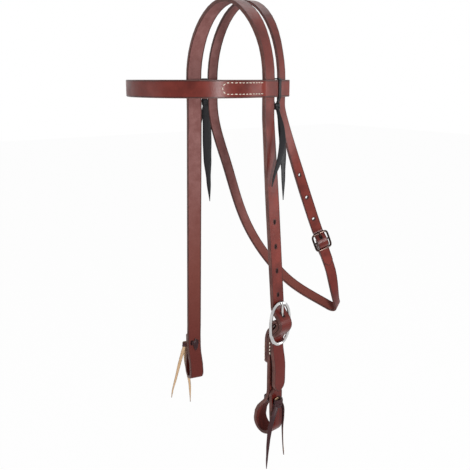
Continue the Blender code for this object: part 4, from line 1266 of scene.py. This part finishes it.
STRAPS = (
    ("crown_strap", 0.0195, ((0.0, 0.0, 0.0045),)),
    ("throat_strap", 0.013, ((0.0, 0.026, 0.02), (0.0603, 0.1013, -0.2958), (0.0619, 0.1060, -0.2963))),
    ("browband", 0.0185, ((0.0, -0.130, -0.0955),)),
    ("near_cheekpiece", 0.0195, ((0.12, 0.0, -0.455),)),
)
NEAR_BROWBAND_STRANDS = (
    wrap((0.0735, 0.0142, -0.1135), UP, 0.0038, 0.0030, 0.0040, (0.3, -0.95, 0.0)),
    wrap((0.0738, 0.0143, -0.1165), (0.4, 0.2, 0.9), 0.0036, 0.0029, 0.0036, (0.3, -0.95, 0.0)),
    Strand(
        (
            (0.0730, 0.0140, -0.1150), (0.0765, 0.0152, -0.1230), (0.0830, 0.0150, -0.1400),
            (0.0868, 0.0122, -0.1560), (0.0890, 0.0060, -0.1740), (0.0900, -0.0010, -0.1890),
            (0.0903, -0.0045, -0.2012),
        ),
        (0.80, -0.60, 0.0),
        (0.0034, 0.0036, 0.0060, 0.0084, 0.0066, 0.0038, 0.0010),
        facing_end=(0.95, 0.30, 0.0),
    ),
    Strand(
        (
            (0.0728, 0.0146, -0.1150), (0.0750, 0.0160, -0.1240), (0.0790, 0.0172, -0.1430),
            (0.0815, 0.0176, -0.1640), (0.0828, 0.0178, -0.1900), (0.0832, 0.0179, -0.2190),
        ),
        (0.90, -0.40, 0.0),
        (0.0034, 0.0038, 0.0070, 0.0078, 0.0048, 0.0010),
    ),
)
OFF_BROWBAND_STRANDS = (
    wrap((-0.0740, 0.0148, -0.1130), UP, 0.0040, 0.0030, 0.0042, (-0.2, -0.98, 0.0)),
    wrap((-0.0742, 0.0150, -0.1165), (-0.4, 0.2, 0.9), 0.0036, 0.0029, 0.0036, (-0.2, -0.98, 0.0)),
    Strand(
        (
            (-0.0738, 0.0150, -0.1130), (-0.0742, 0.0168, -0.1210), (-0.0748, 0.0180, -0.1400),
            (-0.0755, 0.0186, -0.1640), (-0.0760, 0.0192, -0.1880), (-0.0762, 0.0208, -0.2180),
            (-0.0762, 0.0224, -0.2460),
        ),
        (0.82, -0.57, 0.0),
        (0.0046, 0.0088, 0.0112, 0.0118, 0.0106, 0.0060, 0.0010),
    ),
    Strand(
        (
            (-0.0740, 0.0142, -0.1140), (-0.0780, 0.0145, -0.1230), (-0.0850, 0.0140, -0.1400),
            (-0.0890, 0.0105, -0.1620), (-0.0900, 0.0080, -0.1900), (-0.0900, 0.0070, -0.2200),
        ),
        (-0.95, -0.2, 0.0),
        (0.0034, 0.0036, 0.0064, 0.0080, 0.0052, 0.0010),
    ),
)
NEAR_BIT_STRANDS = (
    wrap((0.0992, 0.0030, -0.4590), UP, 0.0056, 0.0036, 0.0050, (0.14, -0.99, 0.0)),
    wrap((0.0996, 0.0026, -0.4640), (0.25, 0.35, 0.9), 0.0054, 0.0035, 0.0046, (0.14, -0.99, 0.0)),
    wrap((0.0994, 0.0045, -0.4610), (0.1, 0.9, -0.42), 0.0052, 0.0036, 0.0036, (0.0, 0.3, 1.0)),
    Strand(
        (
            (0.0996, 0.0020, -0.4600), (0.1006, -0.0022, -0.4690), (0.1008, -0.0072, -0.4810),
            (0.1004, -0.0104, -0.4930), (0.0998, -0.0122, -0.5100), (0.0994, -0.0134, -0.5300),
            (0.0990, -0.0138, -0.5450),
        ),
        (0.80, -0.60, 0.0),
        (0.0044, 0.0050, 0.0056, 0.0054, 0.0042, 0.0026, 0.0010),
    ),
    Strand(
        (
            (0.0998, 0.0060, -0.4600), (0.1018, 0.0080, -0.4680), (0.1020, 0.0084, -0.4800),
            (0.1014, 0.0082, -0.4950), (0.1014, 0.0092, -0.5150), (0.1020, 0.0107, -0.5335),
        ),
        (0.30, -0.95, 0.0),
        (0.0040, 0.0044, 0.0040, 0.0036, 0.0030, 0.0010),
        facing_end=(-0.55, -0.45, 0.0),
    ),
)
OFF_BIT_STRANDS = (
    Strand(
        (
            (-0.0975, 0.0020, -0.4500), (-0.0984, -0.0030, -0.4515), (-0.0984, -0.0075, -0.4530),
        ),
        (-0.98, -0.1, 0.0),
        (0.0048, 0.0044),
    ),
    wrap((-0.0984, -0.0078, -0.4530), UP, 0.0034, 0.0028, 0.0038, (-0.2, -0.98, 0.0)),
    wrap((-0.0986, -0.0082, -0.4568), (-0.3, 0.3, 0.9), 0.0033, 0.0027, 0.0036, (-0.2, -0.98, 0.0)),
    Strand(
        (
            (-0.0837, 0.0006, -0.4430), (-0.0826, 0.0004, -0.4480), (-0.0823, 0.0003, -0.4520),
            (-0.0826, 0.0004, -0.4560), (-0.0836, 0.0006, -0.4605),
        ),
        (0.98, -0.21, 0.0),
        (0.0016, 0.0060, 0.0072, 0.0060, 0.0016),
        0.0018,
    ),
    Strand(
        (
            (-0.0986, -0.0082, -0.4560), (-0.1006, -0.0104, -0.4650), (-0.1040, -0.0146, -0.4850),
            (-0.1068, -0.0196, -0.5080), (-0.1090, -0.0240, -0.5260), (-0.1100, -0.0258, -0.5383),
        ),
        (-0.82, 0.57, 0.0),
        (0.0040, 0.0046, 0.0044, 0.0034, 0.0022, 0.0010),
    ),
    Strand(
        (
            (-0.0986, -0.0078, -0.4560), (-0.1016, -0.0066, -0.4650), (-0.1034, -0.0040, -0.4850),
            (-0.1026, -0.0012, -0.5050), (-0.1010, 0.0002, -0.5220), (-0.1006, 0.0004, -0.5490),
        ),
        (-0.82, 0.57, 0.0),
        (0.0040, 0.0048, 0.0050, 0.0046, 0.0034, 0.0010),
    ),
)


def main() -> None:
    """Builds the dressed headstall and its studio."""
    logging.basicConfig(level=logging.INFO, format="%(message)s")
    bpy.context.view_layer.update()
    effects = Effects()
    chestnut = CHESTNUT.material(effects)
    for node, width, grain_at in STRAPS:
        LeatherPiece(node, width, chestnut, grain_at).build()
    black, burgundy = BLACK_LACE.material(effects), BIT_LACE.material(effects)
    LaceTie("near_browband_tie", black, -0.1185, NEAR_BROWBAND_STRANDS).build()
    LaceTie("off_browband_tie", black, -0.1185, OFF_BROWBAND_STRANDS).build()
    LaceTie("near_bit_tie", burgundy, -0.4660, NEAR_BIT_STRANDS).build()
    LaceTie("off_bit_tie", burgundy, -0.4530, OFF_BIT_STRANDS).build()
    Buckle("cheek_buckle", BRIGHT_STEEL.material(effects)).build()
    Buckle("throat_buckle", DARK_METAL.material(effects)).build()
    thread = CREAM_THREAD.material(effects)
    BrowbandSeams(thread).build()
    FoldSeams(thread).build()
    Studio().build()


if __name__ == "__main__":
    main()
